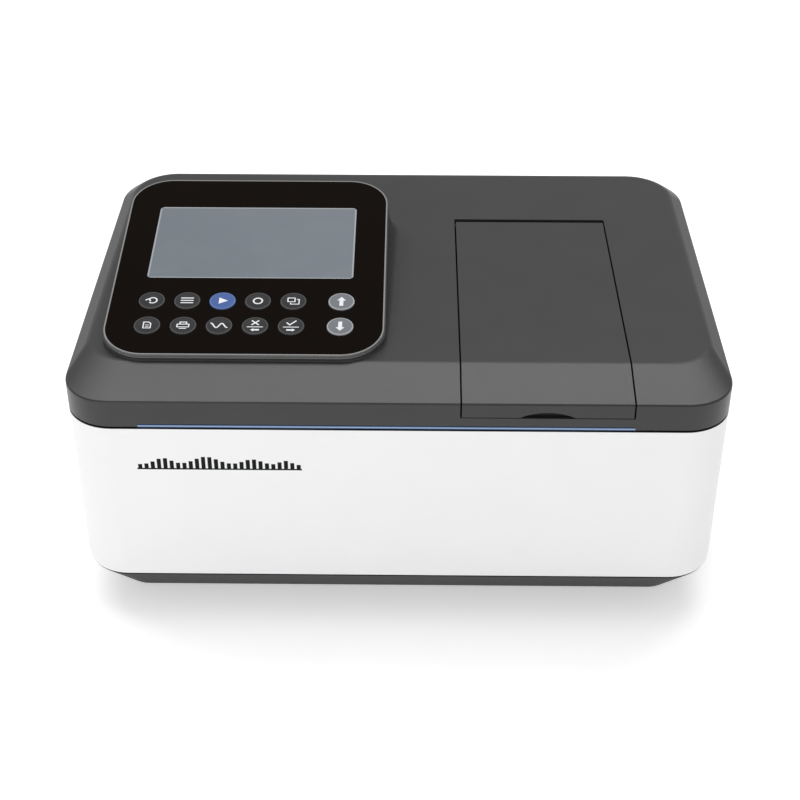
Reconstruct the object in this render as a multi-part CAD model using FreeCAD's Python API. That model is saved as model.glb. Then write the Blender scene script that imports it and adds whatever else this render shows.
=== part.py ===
"""UV-visible bench spectrophotometer, one STEP file per piece.

Frame: millimetres, +Z up, +X to the user's right, +Y to the back; the origin is on the
bench, under the middle of the case. The case comes apart into a base pan, a housing,
a top cover with the keypad pod, a rear panel and a hinged sample compartment lid.
Inside are the lamp house, the monochromator, the sample well with its motorised
four-cell carriage, the detector, the boards, the power supply and the fan.
"""

import FreeCAD
import Part
import math
import os

V = FreeCAD.Vector
X_AXIS, Y_AXIS, Z_AXIS = V(1, 0, 0), V(0, 1, 0), V(0, 0, 1)

# ---------------------------------------------------------------- driving dimensions
WIDTH, DEPTH = 460.0, 335.0
CORNER_R, BACK_CORNER_R = 34.0, 42.0  # plan radii of the case's upright corners
WALL = 3.0                           # thickness of every case moulding
LIP_GAP = 0.3                        # between a locating lip and the wall it sits in
LIP_WALL = 2.4

FOOT_H, FOOT_R = 5.0, 11.0
BASE_H = 28.5                        # outer height of the tapered base
BASE_INSET, BASE_BOTTOM_R = 23.0, 21.0
BASE_TOP_INSET = 1.0
SHADOW_GAP = 1.5                     # dark line between base and housing
HOUSING_H = 130.1
SEAM_GAP = 1.1                       # dark line between housing and cover
BAND_H = 20.8                        # upright front band of the cover
SLOPE_DROP = 9.0
FRONT_SLOPE, SIDE_SLOPE = 38.0, 12.0
CREASE_FRONT_R, CREASE_BACK_R = 30.0, 32.0
CREASE_SOFT, BAND_SOFT, EDGE_SOFT = 10.0, 1.5, 0.6     # rounding of the case's edges
BASE_SOFT = 2.5

PANEL_TILT = 8.0                     # degrees, back edge up
PANEL_FRONT_S, PANEL_BACK_S = -1.7, 205.9    # along the tilted panel
PANEL_X0, PANEL_X1 = -207.3, -10.5
PANEL_R = 30.0
PANEL_RISE = 5.2                     # panel's front edge above the cover's flat top

LID_X0, LID_X1 = 43.2, 159.6
LID_GAP = 1.2
LID_FRONT_H = 10.8                   # how far the lid's lip comes down the band
HINGE_Y, HINGE_R = 72.5, 4.0         # the lid's rear edge is a barrel round the pin
HINGE_PIN_R = 1.5
BARREL_SOFT = 0.5                    # rounding of the barrel's ends
OPENING_RADII = (0.4, 0.4, 1.5, 1.5)  # plan corners of the cover's opening
NOTCH_W, NOTCH_H = 38.0, 4.3

STRIP_X0, STRIP_X1, STRIP_H, STRIP_DEPTH = -177.4, 161.3, 2.2, 1.5
STRIP_GROOVE = 0.5                   # dark line above the strip

WINDOW_X0, WINDOW_X1, WINDOW_S0, WINDOW_S1, WINDOW_R = -184.3, -33.8, 83.1, 170.5, 3.5
KEY_R, KEY_GAP, KEY_PITCH = 9.35, 0.3, 25.3
KEY_FIRST_X, ARROW_KEY_X = -177.0, -41.4
KEY_ROW_FRONT_S, KEY_ROW_BACK_S = 28.7, 56.2

BEAM_Y, BEAM_Z = -40.0, 110.0        # the light beam through the sample runs along X

# ---------------------------------------------------------------- worked-out levels
FRONT, BACK = -DEPTH / 2, DEPTH / 2
BASE_Z = FOOT_H
BASE_TOP = BASE_Z + BASE_H
HOUSING_Z = BASE_TOP + SHADOW_GAP
HOUSING_TOP = HOUSING_Z + HOUSING_H
COVER_Z = HOUSING_TOP + SEAM_GAP
BAND_TOP = COVER_Z + BAND_H
TOP_Z = BAND_TOP + SLOPE_DROP
CREASE_Y = FRONT + FRONT_SLOPE
PANEL_Y, PANEL_Z = CREASE_Y + 1.4, TOP_Z + PANEL_RISE    # s = 0 on the panel's face
LID_BOTTOM = BAND_TOP - LID_FRONT_H
HINGE_Z = TOP_Z - HINGE_R
FLOOR_Z = BASE_Z + WALL              # inside face of the base pan
BENCH_Z, BENCH_T = 46.0, 8.0
DECK_Z = BENCH_Z + BENCH_T           # where the optics stand


# ---------------------------------------------------------------- shape helpers
def rounded_edges(corners, radii, place):
    """Edges of a closed outline with rounded corners; place maps (x, y) into space."""
    count = len(corners)
    spots = []
    for i, (cx, cy) in enumerate(corners):
        arms = []
        for nx, ny in (corners[i - 1], corners[(i + 1) % count]):
            length = math.hypot(nx - cx, ny - cy)
            arms.append(((nx - cx) / length, (ny - cy) / length))
        (ax, ay), (bx, by) = arms
        half = math.acos(max(-1.0, min(1.0, ax * bx + ay * by))) / 2
        reach = radii[i] / math.tan(half)
        mid_x, mid_y = ax + bx, ay + by
        mid_len = math.hypot(mid_x, mid_y)
        dig = radii[i] / math.sin(half) - radii[i]
        spots.append((
            (cx + ax * reach, cy + ay * reach),
            (cx + mid_x / mid_len * dig, cy + mid_y / mid_len * dig),
            (cx + bx * reach, cy + by * reach),
        ))
    edges = []
    for i, (start, mid, end) in enumerate(spots):
        edges.append(Part.Arc(place(*start), place(*mid), place(*end)).toShape())
        following = spots[(i + 1) % count][0]
        edges.append(Part.LineSegment(place(*end), place(*following)).toShape())
    return edges


def flat_outline(x0, x1, y0, y1, radii, z):
    """Rounded rectangle as a wire at height z; radii run from the front left corner round."""
    if not hasattr(radii, "__len__"):
        radii = (radii,) * 4
    corners = ((x0, y0), (x1, y0), (x1, y1), (x0, y1))
    return Part.Wire(rounded_edges(corners, radii, lambda x, y: V(x, y, z)))


def slab(x0, x1, y0, y1, z0, z1, radii):
    """Upright prism on a rounded rectangle."""
    return Part.Face(flat_outline(x0, x1, y0, y1, radii, z0)).extrude(V(0, 0, z1 - z0))


def block(x0, x1, y0, y1, z0, z1):
    return Part.makeBox(x1 - x0, y1 - y0, z1 - z0, V(x0, y0, z0))


def rod(radius, start, end):
    start, end = V(*start), V(*end)
    return Part.makeCylinder(radius, (end - start).Length, start, end - start)


def case_radii(inset):
    return (CORNER_R - inset,) * 2 + (BACK_CORNER_R - inset,) * 2


def case_outline(inset, z, radii=None):
    """The case's plan outline as a wire, drawn in by inset."""
    return flat_outline(-WIDTH / 2 + inset, WIDTH / 2 - inset, FRONT + inset, BACK - inset,
                        radii or case_radii(inset), z)


def case_slab(inset, z0, z1):
    return Part.Face(case_outline(inset, z0)).extrude(V(0, 0, z1 - z0))


def level_edges(shape, z):
    """Edges lying flat at height z."""
    return [e for e in shape.Edges if abs(e.BoundBox.ZMin - z) < 0.01 and abs(e.BoundBox.ZMax - z) < 0.01]


def joined(shapes):
    """One solid fused from overlapping or touching solids."""
    whole = shapes[0]
    if len(shapes) > 1:
        whole = whole.fuse(list(shapes[1:]))
    return whole.removeSplitter()


def without(shape, cutters):
    return shape.cut(list(cutters)) if cutters else shape


def on_panel(shape):
    """Moves a shape drawn at (x, s, n) onto the tilted panel; n is its outward normal."""
    moved = shape.copy()
    moved.rotate(V(0, 0, 0), X_AXIS, PANEL_TILT)
    moved.translate(V(0, PANEL_Y, PANEL_Z))
    return moved


def save(name, *shapes):
    """Writes one piece, checked to be closed solids of positive volume."""
    solids = [s for shape in shapes for s in shape.Solids]
    for solid in solids:
        if not solid.isValid() or solid.Volume <= 0:
            raise ValueError(f"{name} has a bad solid")
    whole = solids[0] if len(solids) == 1 else Part.makeCompound(solids)
    whole.exportStep(f"parts/{name}.step")
    print(f"{name}: {len(solids)} solid(s), {whole.Volume / 1000:.2f} cm3")


# ---------------------------------------------------------------- case
def base_pan():
    """Tapered tray with a locating lip for the housing."""
    outside = Part.makeLoft([
        case_outline(BASE_INSET, BASE_Z, BASE_BOTTOM_R),
        case_outline(BASE_TOP_INSET, BASE_TOP),
    ], True, True)
    outside = outside.makeFillet(BASE_SOFT, level_edges(outside, BASE_Z))
    hollow = Part.makeLoft([
        case_outline(BASE_INSET + WALL - 2, FLOOR_Z, BASE_BOTTOM_R - WALL + 2),
        case_outline(BASE_TOP_INSET + WALL * 1.4, BASE_TOP + 0.1),
    ], True, True)
    lip_inset = WALL + LIP_GAP
    lip = without(case_slab(lip_inset, BASE_TOP - 2, BASE_TOP + 8),
                  [case_slab(lip_inset + LIP_WALL, BASE_TOP - 3, BASE_TOP + 9)])
    vents = [
        slab(x, x + 4, -60, 0, BASE_Z - 1, FLOOR_Z + 1, 1.9)
        for x in (-150 + 9 * i for i in range(9))
    ]
    screw_holes = [rod(1.8, (x, y, BASE_Z - 1), (x, y, FLOOR_Z + 1)) for x, y in foot_places()]
    return without(joined([without(outside, [hollow]), lip]), vents + screw_holes)


def foot_places():
    return [(sx * 172, sy * 112) for sx in (-1, 1) for sy in (-1, 1)]


def rubber_feet():
    feet = []
    for x, y in foot_places():
        foot = Part.makeCone(FOOT_R - 1.2, FOOT_R, FOOT_H, V(x, y, 0))
        feet.append(foot.cut(rod(3.6, (x, y, -1), (x, y, 3))).cut(rod(1.8, (x, y, 0), (x, y, 6))))
    return feet


REAR_X, REAR_Z0, REAR_Z1 = 177.0, HOUSING_Z + 17, HOUSING_TOP - 17
REAR_PANEL_T, REAR_LAP = 2.0, 9.0
REAR_SCREW_R, REAR_HEAD_R = 1.5, 3.0
FAN_X, FAN_Z, FAN_SIZE, FAN_T, FAN_BORE = -132.0, 100.0, 60.0, 15.0, 28.5
INLET_X, INLET_Z, INLET_W, INLET_H = 150.0, 92.0, 27.0, 47.0
PORT_Z = 96.0
USB_A_X, USB_B_X = 78.0, 102.0


def rear_screw_places():
    rows = (REAR_Z0 - REAR_LAP / 2, REAR_Z1 + REAR_LAP / 2)
    return [(x, z) for x in (-170.0, 0.0, 170.0) for z in rows]


def housing_shell():
    """White wrap: front, sides and back, open below and above, with a rear opening."""
    wrap = case_slab(0, HOUSING_Z, HOUSING_TOP)
    wrap = wrap.makeFillet(EDGE_SOFT, level_edges(wrap, HOUSING_Z) + level_edges(wrap, HOUSING_TOP))
    ring = wrap.cut(case_slab(WALL, HOUSING_Z - 1, HOUSING_TOP + 1))
    cuts = [slab_xz(-REAR_X, REAR_X, REAR_Z0, REAR_Z1, BACK - WALL - 5, BACK + 5, 4)]
    for x, z in rear_screw_places():
        cuts.append(rod(REAR_SCREW_R + 0.1, (x, BACK - WALL - 1, z), (x, BACK + 1, z)))
        cuts.append(Part.makeCone(REAR_SCREW_R, REAR_HEAD_R + 0.1, 1.6, V(x, BACK - 1.6, z), Y_AXIS))
    return without(ring, cuts)


def slab_xz(x0, x1, z0, z1, y0, y1, radius):
    """Prism along Y on a rounded rectangle in the XZ plane."""
    corners = ((x0, z0), (x1, z0), (x1, z1), (x0, z1))
    wire = Part.Wire(rounded_edges(corners, (radius,) * 4, lambda x, z: V(x, y0, z)))
    return Part.Face(wire).extrude(V(0, y1 - y0, 0))


def fan_grille_cuts(y0, y1):
    """Ring slots of a finger guard, with four spokes left between them."""
    cuts = []
    spokes = [block(FAN_X - 32, FAN_X + 32, y0 - 1, y1 + 1, FAN_Z - 1.5, FAN_Z + 1.5),
              block(FAN_X - 1.5, FAN_X + 1.5, y0 - 1, y1 + 1, FAN_Z - 32, FAN_Z + 32)]
    for inner in (7.0, 12.4, 17.8, 23.2):
        ring = rod(inner + 3.6, (FAN_X, y0, FAN_Z), (FAN_X, y1, FAN_Z)).cut(
            rod(inner, (FAN_X, y0, FAN_Z), (FAN_X, y1, FAN_Z)))
        cuts.append(ring.cut(spokes))
    return cuts


def rear_panel():
    y1 = BACK - WALL
    y0 = y1 - REAR_PANEL_T
    plate = block(-REAR_X - REAR_LAP, REAR_X + REAR_LAP, y0, y1, REAR_Z0 - REAR_LAP, REAR_Z1 + REAR_LAP)
    cuts = fan_grille_cuts(y0 - 1, y1 + 1)
    cuts.append(block(INLET_X - INLET_W / 2, INLET_X + INLET_W / 2, y0 - 1, y1 + 1,
                      INLET_Z - INLET_H / 2, INLET_Z + INLET_H / 2))
    for x, half_w, half_h in ((USB_A_X, 7.2, 3.6), (USB_B_X, 6.4, 5.9)):
        cuts.append(block(x - half_w, x + half_w, y0 - 1, y1 + 1, PORT_Z - half_h, PORT_Z + half_h))
    for x, z in rear_screw_places():
        cuts.append(rod(REAR_SCREW_R + 0.1, (x, y0 - 1, z), (x, y1 + 1, z)))
    for i in range(12):
        x = -60.0 + 6 * i
        cuts.append(slab_xz(x, x + 2.6, 70, 120, y0 - 1, y1 + 1, 1.25))
    return without(plate, cuts)


def cross_slot(x, y, z, size, width, depth):
    """Two crossed bars to cut a cross recess with."""
    return [block(x - size, x + size, y - width, y + width, z - depth, z + depth),
            block(x - width, x + width, y - size, y + size, z - depth, z + depth)]


def rear_screws():
    """Countersunk screws, flush with the back of the housing."""
    screws = []
    for x, z in rear_screw_places():
        head = Part.makeCone(REAR_SCREW_R, REAR_HEAD_R, 1.6, V(x, BACK - 1.6, z), Y_AXIS)
        shank = rod(REAR_SCREW_R, (x, BACK - 9, z), (x, BACK - 1.5, z))
        slot = [bar.rotated(V(x, BACK, z), X_AXIS, 90) for bar in cross_slot(x, BACK, z, 1.6, 0.3, 0.8)]
        screws.append(joined([head, shank]).cut(slot))
    return screws


def foot_screws():
    screws = []
    for x, y in foot_places():
        head = rod(3.3, (x, y, 1.2), (x, y, 2.9))
        shank = rod(1.7, (x, y, 2.5), (x, y, FLOOR_Z))
        screws.append(joined([head, shank]).cut(cross_slot(x, y, 1.2, 1.8, 0.35, 0.8)))
    return screws


# ---------------------------------------------------------------- top cover and lid
def crease_outline(front, side, front_r, back_r, z):
    return flat_outline(-WIDTH / 2 + side, WIDTH / 2 - side, FRONT + front, BACK - side,
                        (front_r, front_r, back_r, back_r), z)


def cover_mass(inset):
    """The cover's outside as a full solid, or with an inset the hollow inside its skin."""
    band_top = BAND_TOP - 0.75 * inset
    band = case_slab(inset, COVER_Z - (1 if inset else 0), band_top)
    slopes = Part.makeLoft([
        case_outline(inset, band_top),
        crease_outline(FRONT_SLOPE + 0.13 * inset, SIDE_SLOPE + 0.33 * inset,
                       CREASE_FRONT_R - 0.5 * inset, CREASE_BACK_R - 0.5 * inset, TOP_Z - inset),
    ], True, True)
    mass = joined([band, slopes])
    if inset:
        return mass
    mass = mass.makeFillet(CREASE_SOFT, level_edges(mass, TOP_Z))
    mass = mass.makeFillet(BAND_SOFT, level_edges(mass, BAND_TOP))
    return mass.makeFillet(EDGE_SOFT, level_edges(mass, COVER_Z))


POD_TOP_N = -3.5                     # pod's rim below the panel's face
POD_MARGIN = 0.8
POD_FOOT = {"front": 0.6, "right": 14.0, "back": 24.0, "left": 4.0}
POD_LAYERS = 8
POD_SINK = 0.8                       # the pod's foot starts this far under the flat top


def pod_outline(share, inset):
    """Outline of the pod at a share of its height: the foot at 0, the tilted rim at 1.

    The planes fan about the line where the rim's plane meets the cover's flat top."""
    tilt = math.radians(PANEL_TILT)
    front = PANEL_Y + (PANEL_FRONT_S - POD_MARGIN) * math.cos(tilt) - POD_TOP_N * math.sin(tilt)
    back = front + (PANEL_BACK_S - PANEL_FRONT_S + 2 * POD_MARGIN) * math.cos(tilt)
    rim_z = PANEL_Z + (PANEL_FRONT_S - POD_MARGIN) * math.sin(tilt) + POD_TOP_N * math.cos(tilt)
    foot_z = TOP_Z - POD_SINK
    axis_y = front - (rim_z - foot_z) / math.tan(tilt)
    slope = math.tan(tilt) * share
    spread = 1 - math.sqrt(1 - (1 - share) ** 2)
    y0 = front - POD_FOOT["front"] * spread + inset
    y1 = back + POD_FOOT["back"] * spread - inset
    x0 = PANEL_X0 - POD_MARGIN + inset
    x1 = PANEL_X1 + POD_MARGIN - inset
    right, left = POD_FOOT["right"] * spread, POD_FOOT["left"] * spread
    corners = ((x0 - 0.1 * left, y0), (x1 + 0.12 * right, y0), (x1 + right, y1), (x0 - left, y1))
    grow = 0.5 * (right + POD_FOOT["back"] * spread)
    radii = (PANEL_R - inset, PANEL_R - inset, PANEL_R + grow - inset, PANEL_R + 0.3 * grow - inset)
    edges = rounded_edges(corners, radii, lambda x, y: V(x, y, foot_z - inset + (y - axis_y) * slope))
    return Part.Wire(edges)


def pod_mass(inset):
    """Wedge under the keypad panel, with walls that flare softly into the flat top."""
    shares = [1 - math.cos(math.pi / 2 * i / POD_LAYERS) for i in range(POD_LAYERS + 1)]
    return Part.makeLoft([pod_outline(share, inset) for share in shares], True, False)


def panel_slab(inset, n0, n1):
    """Tilted plate on the panel's outline, drawn in by inset, between two depths."""
    return on_panel(panel_plate(inset, n0, n1))


def lid_prism(grow, z0):
    """Column over the lid's plan, from z0 up, grown by the gap to the cover."""
    y1 = HINGE_Y + HINGE_R + 0.6 if grow else HINGE_Y
    return slab(LID_X0 - grow, LID_X1 + grow, FRONT - 5, y1, z0, TOP_Z + 60,
                OPENING_RADII if grow else 0.01)


HINGE_ENDS = ((LID_X0 - LID_GAP - 9.6, LID_X0 - LID_GAP), (LID_X1 + LID_GAP, LID_X1 + LID_GAP + 9.6))


def build_skin():
    outside = joined([cover_mass(0), pod_mass(0)])
    inside = joined([cover_mass(WALL), pod_mass(WALL)])
    return outside.cut(inside), inside


def hinge_rod(radius, x0, x1):
    """Cylinder on the lid's hinge axis."""
    return rod(radius, (x0, HINGE_Y, HINGE_Z), (x1, HINGE_Y, HINGE_Z))


def top_cover(skin):
    lip_inset = WALL + LIP_GAP
    lip = without(case_slab(lip_inset, HOUSING_TOP - 6, COVER_Z + 2),
                  [case_slab(lip_inset + LIP_WALL, HOUSING_TOP - 7, COVER_Z + 3)])
    lip_tie = without(case_slab(WALL - 0.5, COVER_Z + 0.2, COVER_Z + 2),
                      [case_slab(lip_inset + LIP_WALL, COVER_Z, COVER_Z + 3)])
    collar_wall = 2.6
    opening_x0, opening_x1 = LID_X0 - LID_GAP, LID_X1 + LID_GAP
    opening_y1 = HINGE_Y + HINGE_R + 0.6
    collar = slab(opening_x0 - collar_wall, opening_x1 + collar_wall, FRONT + 6, opening_y1 + collar_wall,
                  COVER_Z + 8, TOP_Z - 1, 0.4)
    collar = collar.common(cover_mass(WALL - 0.5))
    opening = lid_prism(LID_GAP, LID_BOTTOM - 0.6)
    well_way = slab(opening_x0, opening_x1, FRONT + WALL, opening_y1, HOUSING_TOP - 20, TOP_Z,
                    OPENING_RADII)
    panel_hole = panel_slab(6.0, POD_TOP_N - 40, 1)
    strip_seat = block(STRIP_X0 - 0.1, STRIP_X1 + 0.1, FRONT - 1, FRONT + STRIP_DEPTH + 0.1,
                       COVER_Z - 1, COVER_Z + STRIP_H + STRIP_GROOVE)
    bearings = [block(x0, x1, HINGE_Y - 8, HINGE_Y + 8, HINGE_Z - 8, TOP_Z - 1) for x0, x1 in HINGE_ENDS]
    pin_way = hinge_rod(HINGE_PIN_R + 0.08, HINGE_ENDS[0][0] - 1, HINGE_ENDS[1][1] + 1)
    lip_relief = block(opening_x0 - 4, opening_x1 + 4, FRONT + WALL, FRONT + 8,
                       HOUSING_TOP - 10, COVER_Z + 12)
    body = joined([skin, collar, lip, lip_tie] + bearings)
    panel_way = panel_hole.common(pod_hole_limit())
    return without(body, [opening, well_way, strip_seat, pin_way, lip_relief, panel_way])


def pod_hole_limit():
    """Keeps the panel's hole inside the pod, clear of the front slope."""
    return block(PANEL_X0 + 6, PANEL_X1 - 6, CREASE_Y + 4, BACK - 20, BAND_TOP - 12, TOP_Z + 60)


def accent_strip():
    return block(STRIP_X0, STRIP_X1, FRONT, FRONT + STRIP_DEPTH, COVER_Z, COVER_Z + STRIP_H)


def finger_notch():
    """Arched bite out of the lid's lower front edge."""
    middle = (LID_X0 + LID_X1) / 2
    sagitta = NOTCH_H
    radius = (NOTCH_W ** 2 / 4 + sagitta ** 2) / (2 * sagitta)
    return rod(radius, (middle, FRONT - 1, LID_BOTTOM + sagitta - radius),
               (middle, FRONT + WALL + 0.5, LID_BOTTOM + sagitta - radius))


def lid(skin):
    shell = skin.common(lid_prism(0, LID_BOTTOM))
    barrel = hinge_rod(HINGE_R, LID_X0, LID_X1)
    ends = [e for e in barrel.Edges if e.Curve.TypeId == "Part::GeomCircle"]
    barrel = barrel.makeFillet(BARREL_SOFT, ends)
    body = joined([shell, barrel])
    bore = hinge_rod(HINGE_PIN_R + 0.05, LID_X0 - 1, LID_X1 + 1)
    return without(body, [bore, finger_notch()])


LINER_X0, LINER_X1, LINER_Y0, LINER_Y1 = LID_X0 + 2.9, LID_X1 - 2.9, FRONT + 5.5, 61.0
SEAL_TOP = 178.2
FLANGE_TOP = 174.2


def liner_slab(inset, z0, z1, radius):
    """Plate on the liner's outline, drawn in by inset."""
    return slab(LINER_X0 + inset, LINER_X1 - inset, LINER_Y0 + inset, LINER_Y1 - inset, z0, z1, radius)


def lid_liner(inside):
    """Black inner tray of the lid, whose rim presses on the seal."""
    rim = liner_slab(0, SEAL_TOP + 0.4, TOP_Z, 4).cut(liner_slab(3, SEAL_TOP, TOP_Z + 1, 2))
    web = liner_slab(1, 181.5, 183.5, 3)
    ribs = [block(x, x + 2, LINER_Y0 + 1, LINER_Y1 - 1, 180.0, 182.0) for x in (76.0, 103.0, 130.0)]
    return joined([rim.common(inside), web] + ribs)


def well_seal():
    return liner_slab(-1, FLANGE_TOP, SEAL_TOP, 5).cut(liner_slab(3, FLANGE_TOP - 1, SEAL_TOP + 1, 2))


def lid_hinge_pin():
    return hinge_rod(HINGE_PIN_R, HINGE_ENDS[0][0] + 1, HINGE_ENDS[1][1] - 1)


# ---------------------------------------------------------------- keypad panel
MEMBRANE_INSET, MEMBRANE_FACE, BEZEL_FLOOR = 1.0, -0.05, -0.9
KEY_TOP, KEY_FLANGE_TOP, KEY_FLANGE_T, KEY_TRAVEL = 0.8, -3.6, 1.0, 0.5
BOARD_TOP, BOARD_T = -8.6, 1.6
DISPLAY_FACE = -0.35


def key_places():
    """Every key's name and its (x, s) on the panel."""
    columns = [KEY_FIRST_X + KEY_PITCH * i for i in range(5)] + [ARROW_KEY_X]
    rows = {
        KEY_ROW_BACK_S: ("back_key", "menu_key", "start_key", "zero_key", "batch_key", "up_key"),
        KEY_ROW_FRONT_S: ("file_key", "print_key", "wave_key", "left_key", "right_key", "down_key"),
    }
    return {name: (x, s) for s, names in rows.items() for name, x in zip(names, columns)}


def upright(radius, x, y, z0, z1):
    return rod(radius, (x, y, z0), (x, y, z1))


def panel_plate(inset, n0, n1):
    """Plate on the panel's outline in (x, s, n), drawn in by inset."""
    return slab(PANEL_X0 + inset, PANEL_X1 - inset, PANEL_FRONT_S + inset, PANEL_BACK_S - inset,
                n0, n1, PANEL_R - inset)


def window_plate(grow, n0, n1, radius):
    """Plate on the screen window's outline, grown all round."""
    return slab(WINDOW_X0 - grow, WINDOW_X1 + grow, WINDOW_S0 - grow, WINDOW_S1 + grow, n0, n1, radius)


def panel_bezel():
    """Frame under the membrane; a groove runs round its edge."""
    plate = panel_plate(0, POD_TOP_N, 0)
    groove_ring = panel_plate(-1, -2.3, -1.1).cut(panel_plate(0.7, -3, 0))
    pocket = panel_plate(MEMBRANE_INSET, BEZEL_FLOOR, 1)
    cuts = [groove_ring, pocket, window_plate(0, -5, 1, WINDOW_R)]
    cuts += [upright(KEY_R + KEY_GAP, x, s, -5, 1) for x, s in key_places().values()]
    return on_panel(without(plate, cuts))


def panel_membrane():
    """Glossy overlay with holes for the keys and the screen."""
    sheet = panel_plate(MEMBRANE_INSET + 0.05, BEZEL_FLOOR, MEMBRANE_FACE)
    cuts = [window_plate(0, -2, 1, WINDOW_R)]
    cuts += [upright(KEY_R + KEY_GAP, x, s, -2, 1) for x, s in key_places().values()]
    return on_panel(without(sheet, cuts))


def display_module():
    """Seven inch screen: glass in the window, metal tray and its board behind."""
    glass = window_plate(-0.15, -4, DISPLAY_FACE, WINDOW_R - 0.15)
    tray = window_plate(6, -9.5, POD_TOP_N, 2)
    board = window_plate(-18, -14, -9, 2)
    return on_panel(joined([glass, tray, board]))


def key(x, s):
    """Round cap with a softened rim, a retaining flange and a plunger."""
    cap = upright(KEY_R, x, s, KEY_FLANGE_TOP - 0.5, KEY_TOP)
    rim = [e for e in cap.Edges if abs(e.BoundBox.ZMin - KEY_TOP) < 0.01 and e.Length > 30]
    cap = cap.makeFillet(0.5, rim)
    dish = Part.makeSphere(90, V(x, s, KEY_TOP - 0.25 + 90))
    flange = upright(KEY_R + 1.1, x, s, KEY_FLANGE_TOP - KEY_FLANGE_T, KEY_FLANGE_TOP)
    stem = upright(3.0, x, s, -5.5, KEY_FLANGE_TOP - 0.5)
    return on_panel(joined([cap.cut(dish), flange, stem]))


def keypad_board():
    """Circuit board with a tactile switch under every key."""
    places = key_places().values()
    board = slab(PANEL_X0 + 12, PANEL_X1 - 12, KEY_ROW_FRONT_S - 15, WINDOW_S0 - 8,
                 BOARD_TOP - BOARD_T, BOARD_TOP, 3)
    switches = []
    for x, s in places:
        switches.append(block(x - 3, x + 3, s - 3, s + 3, BOARD_TOP - 0.2, -6.9))
        switches.append(upright(1.7, x, s, -7.2, -6.1))
    plug = block(PANEL_X0 + 40, PANEL_X0 + 62, KEY_ROW_FRONT_S + 8, KEY_ROW_FRONT_S + 16,
                 BOARD_TOP - BOARD_T - 7, BOARD_TOP - BOARD_T + 0.2)
    return on_panel(joined([board, plug] + switches))


# ---------------------------------------------------------------- rear connectors and fan
REAR_IN = BACK - WALL - REAR_PANEL_T          # inside face of the rear panel
ROCKER_Z, ROCKER_R = INLET_Z + 15.5, 9.0
ROCKER_W, ROCKER_H, ROCKER_TILT = 13.0, 9.4, 11.0
ROCKER_ROOM = 1.6
FUSE_Z = INLET_Z + 4.5


def mains_inlet():
    """Three-pole inlet with a fuse drawer and a well for the power switch."""
    x0, x1 = INLET_X - INLET_W / 2 + 0.3, INLET_X + INLET_W / 2 - 0.3
    z0, z1 = INLET_Z - INLET_H / 2 + 0.3, INLET_Z + INLET_H / 2 - 0.3
    body = block(x0, x1, REAR_IN - 26, BACK - 1.0, z0, z1)
    flange = block(x0 - 3, x1 + 3, BACK - WALL, BACK - 1.0, z0 - 3, z1 + 3)
    socket_z = INLET_Z - 9.0
    recess = slab_xz(INLET_X - 12, INLET_X + 12, socket_z - 8, socket_z + 8, BACK - 20, BACK + 1, 3.0)
    blades = []
    for dx, dz in ((-7, -2), (0, 2), (7, -2)):
        x, z = INLET_X + dx, socket_z + dz
        blades.append(block(x - 1, x + 1, BACK - 21, BACK - 6, z - 2, z + 2))
    switch_well = block(INLET_X - ROCKER_W / 2 - 0.4, INLET_X + ROCKER_W / 2 + 0.4, REAR_IN - 12, BACK + 1,
                        ROCKER_Z - ROCKER_H / 2 - ROCKER_ROOM, ROCKER_Z + ROCKER_H / 2 + ROCKER_ROOM)
    drawer_bay = block(INLET_X - 11, INLET_X + 11, BACK - 22, BACK, FUSE_Z - 3.2, FUSE_Z + 3.2)
    shell = without(joined([body, flange]), [recess, switch_well, drawer_bay])
    bar_half = ROCKER_W / 2 + 1
    trunnion = rod(1.5, (INLET_X - bar_half, BACK - 8, ROCKER_Z), (INLET_X + bar_half, BACK - 8, ROCKER_Z))
    return joined([shell, trunnion] + blades)


def fuse_drawer():
    """Pull-out drawer between socket and switch, with a finger groove in its face."""
    drawer = block(INLET_X - 10.8, INLET_X + 10.8, BACK - 21.5, BACK - 1.0, FUSE_Z - 3.0, FUSE_Z + 3.0)
    tray = block(INLET_X - 9.5, INLET_X + 9.5, BACK - 20.5, BACK - 4, FUSE_Z - 2, FUSE_Z + 4)
    groove = block(INLET_X - 5, INLET_X + 5, BACK - 2, BACK, FUSE_Z - 3.1, FUSE_Z - 1.6)
    return without(drawer, [tray, groove])


def mains_rocker():
    """Power switch paddle that rocks on a cross bar; a shallow V across its face."""
    half = ROCKER_H / 2
    x0, x1 = INLET_X - ROCKER_W / 2, INLET_X + ROCKER_W / 2
    pivot_y = BACK - 8
    profile = ((pivot_y + 6.2, ROCKER_Z - half), (pivot_y + 5.2, ROCKER_Z), (pivot_y + 6.2, ROCKER_Z + half),
               (pivot_y + 1.5, ROCKER_Z + half), (pivot_y - 3, ROCKER_Z + 3), (pivot_y - 3, ROCKER_Z - 3),
               (pivot_y + 1.5, ROCKER_Z - half))
    wire = Part.makePolygon([V(x0, y, z) for y, z in profile + profile[:1]])
    paddle = Part.Face(wire).extrude(V(x1 - x0, 0, 0))
    paddle = paddle.cut(rod(1.58, (x0 - 1, pivot_y, ROCKER_Z), (x1 + 1, pivot_y, ROCKER_Z)))
    return paddle.rotated(V(0, pivot_y, ROCKER_Z), X_AXIS, ROCKER_TILT)


def usb_host_socket():
    """Rectangular socket with a contact tongue."""
    x, z = USB_A_X, PORT_Z
    shell = block(x - 7, x + 7, REAR_IN - 12, BACK - WALL - 0.1, z - 3.4, z + 3.4)
    shell = shell.cut(block(x - 6.3, x + 6.3, REAR_IN - 8, BACK, z - 2.7, z + 2.7))
    return joined([shell, block(x - 5.6, x + 5.6, REAR_IN - 9, BACK - WALL - 0.6, z + 0.2, z + 2.0)])


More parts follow.
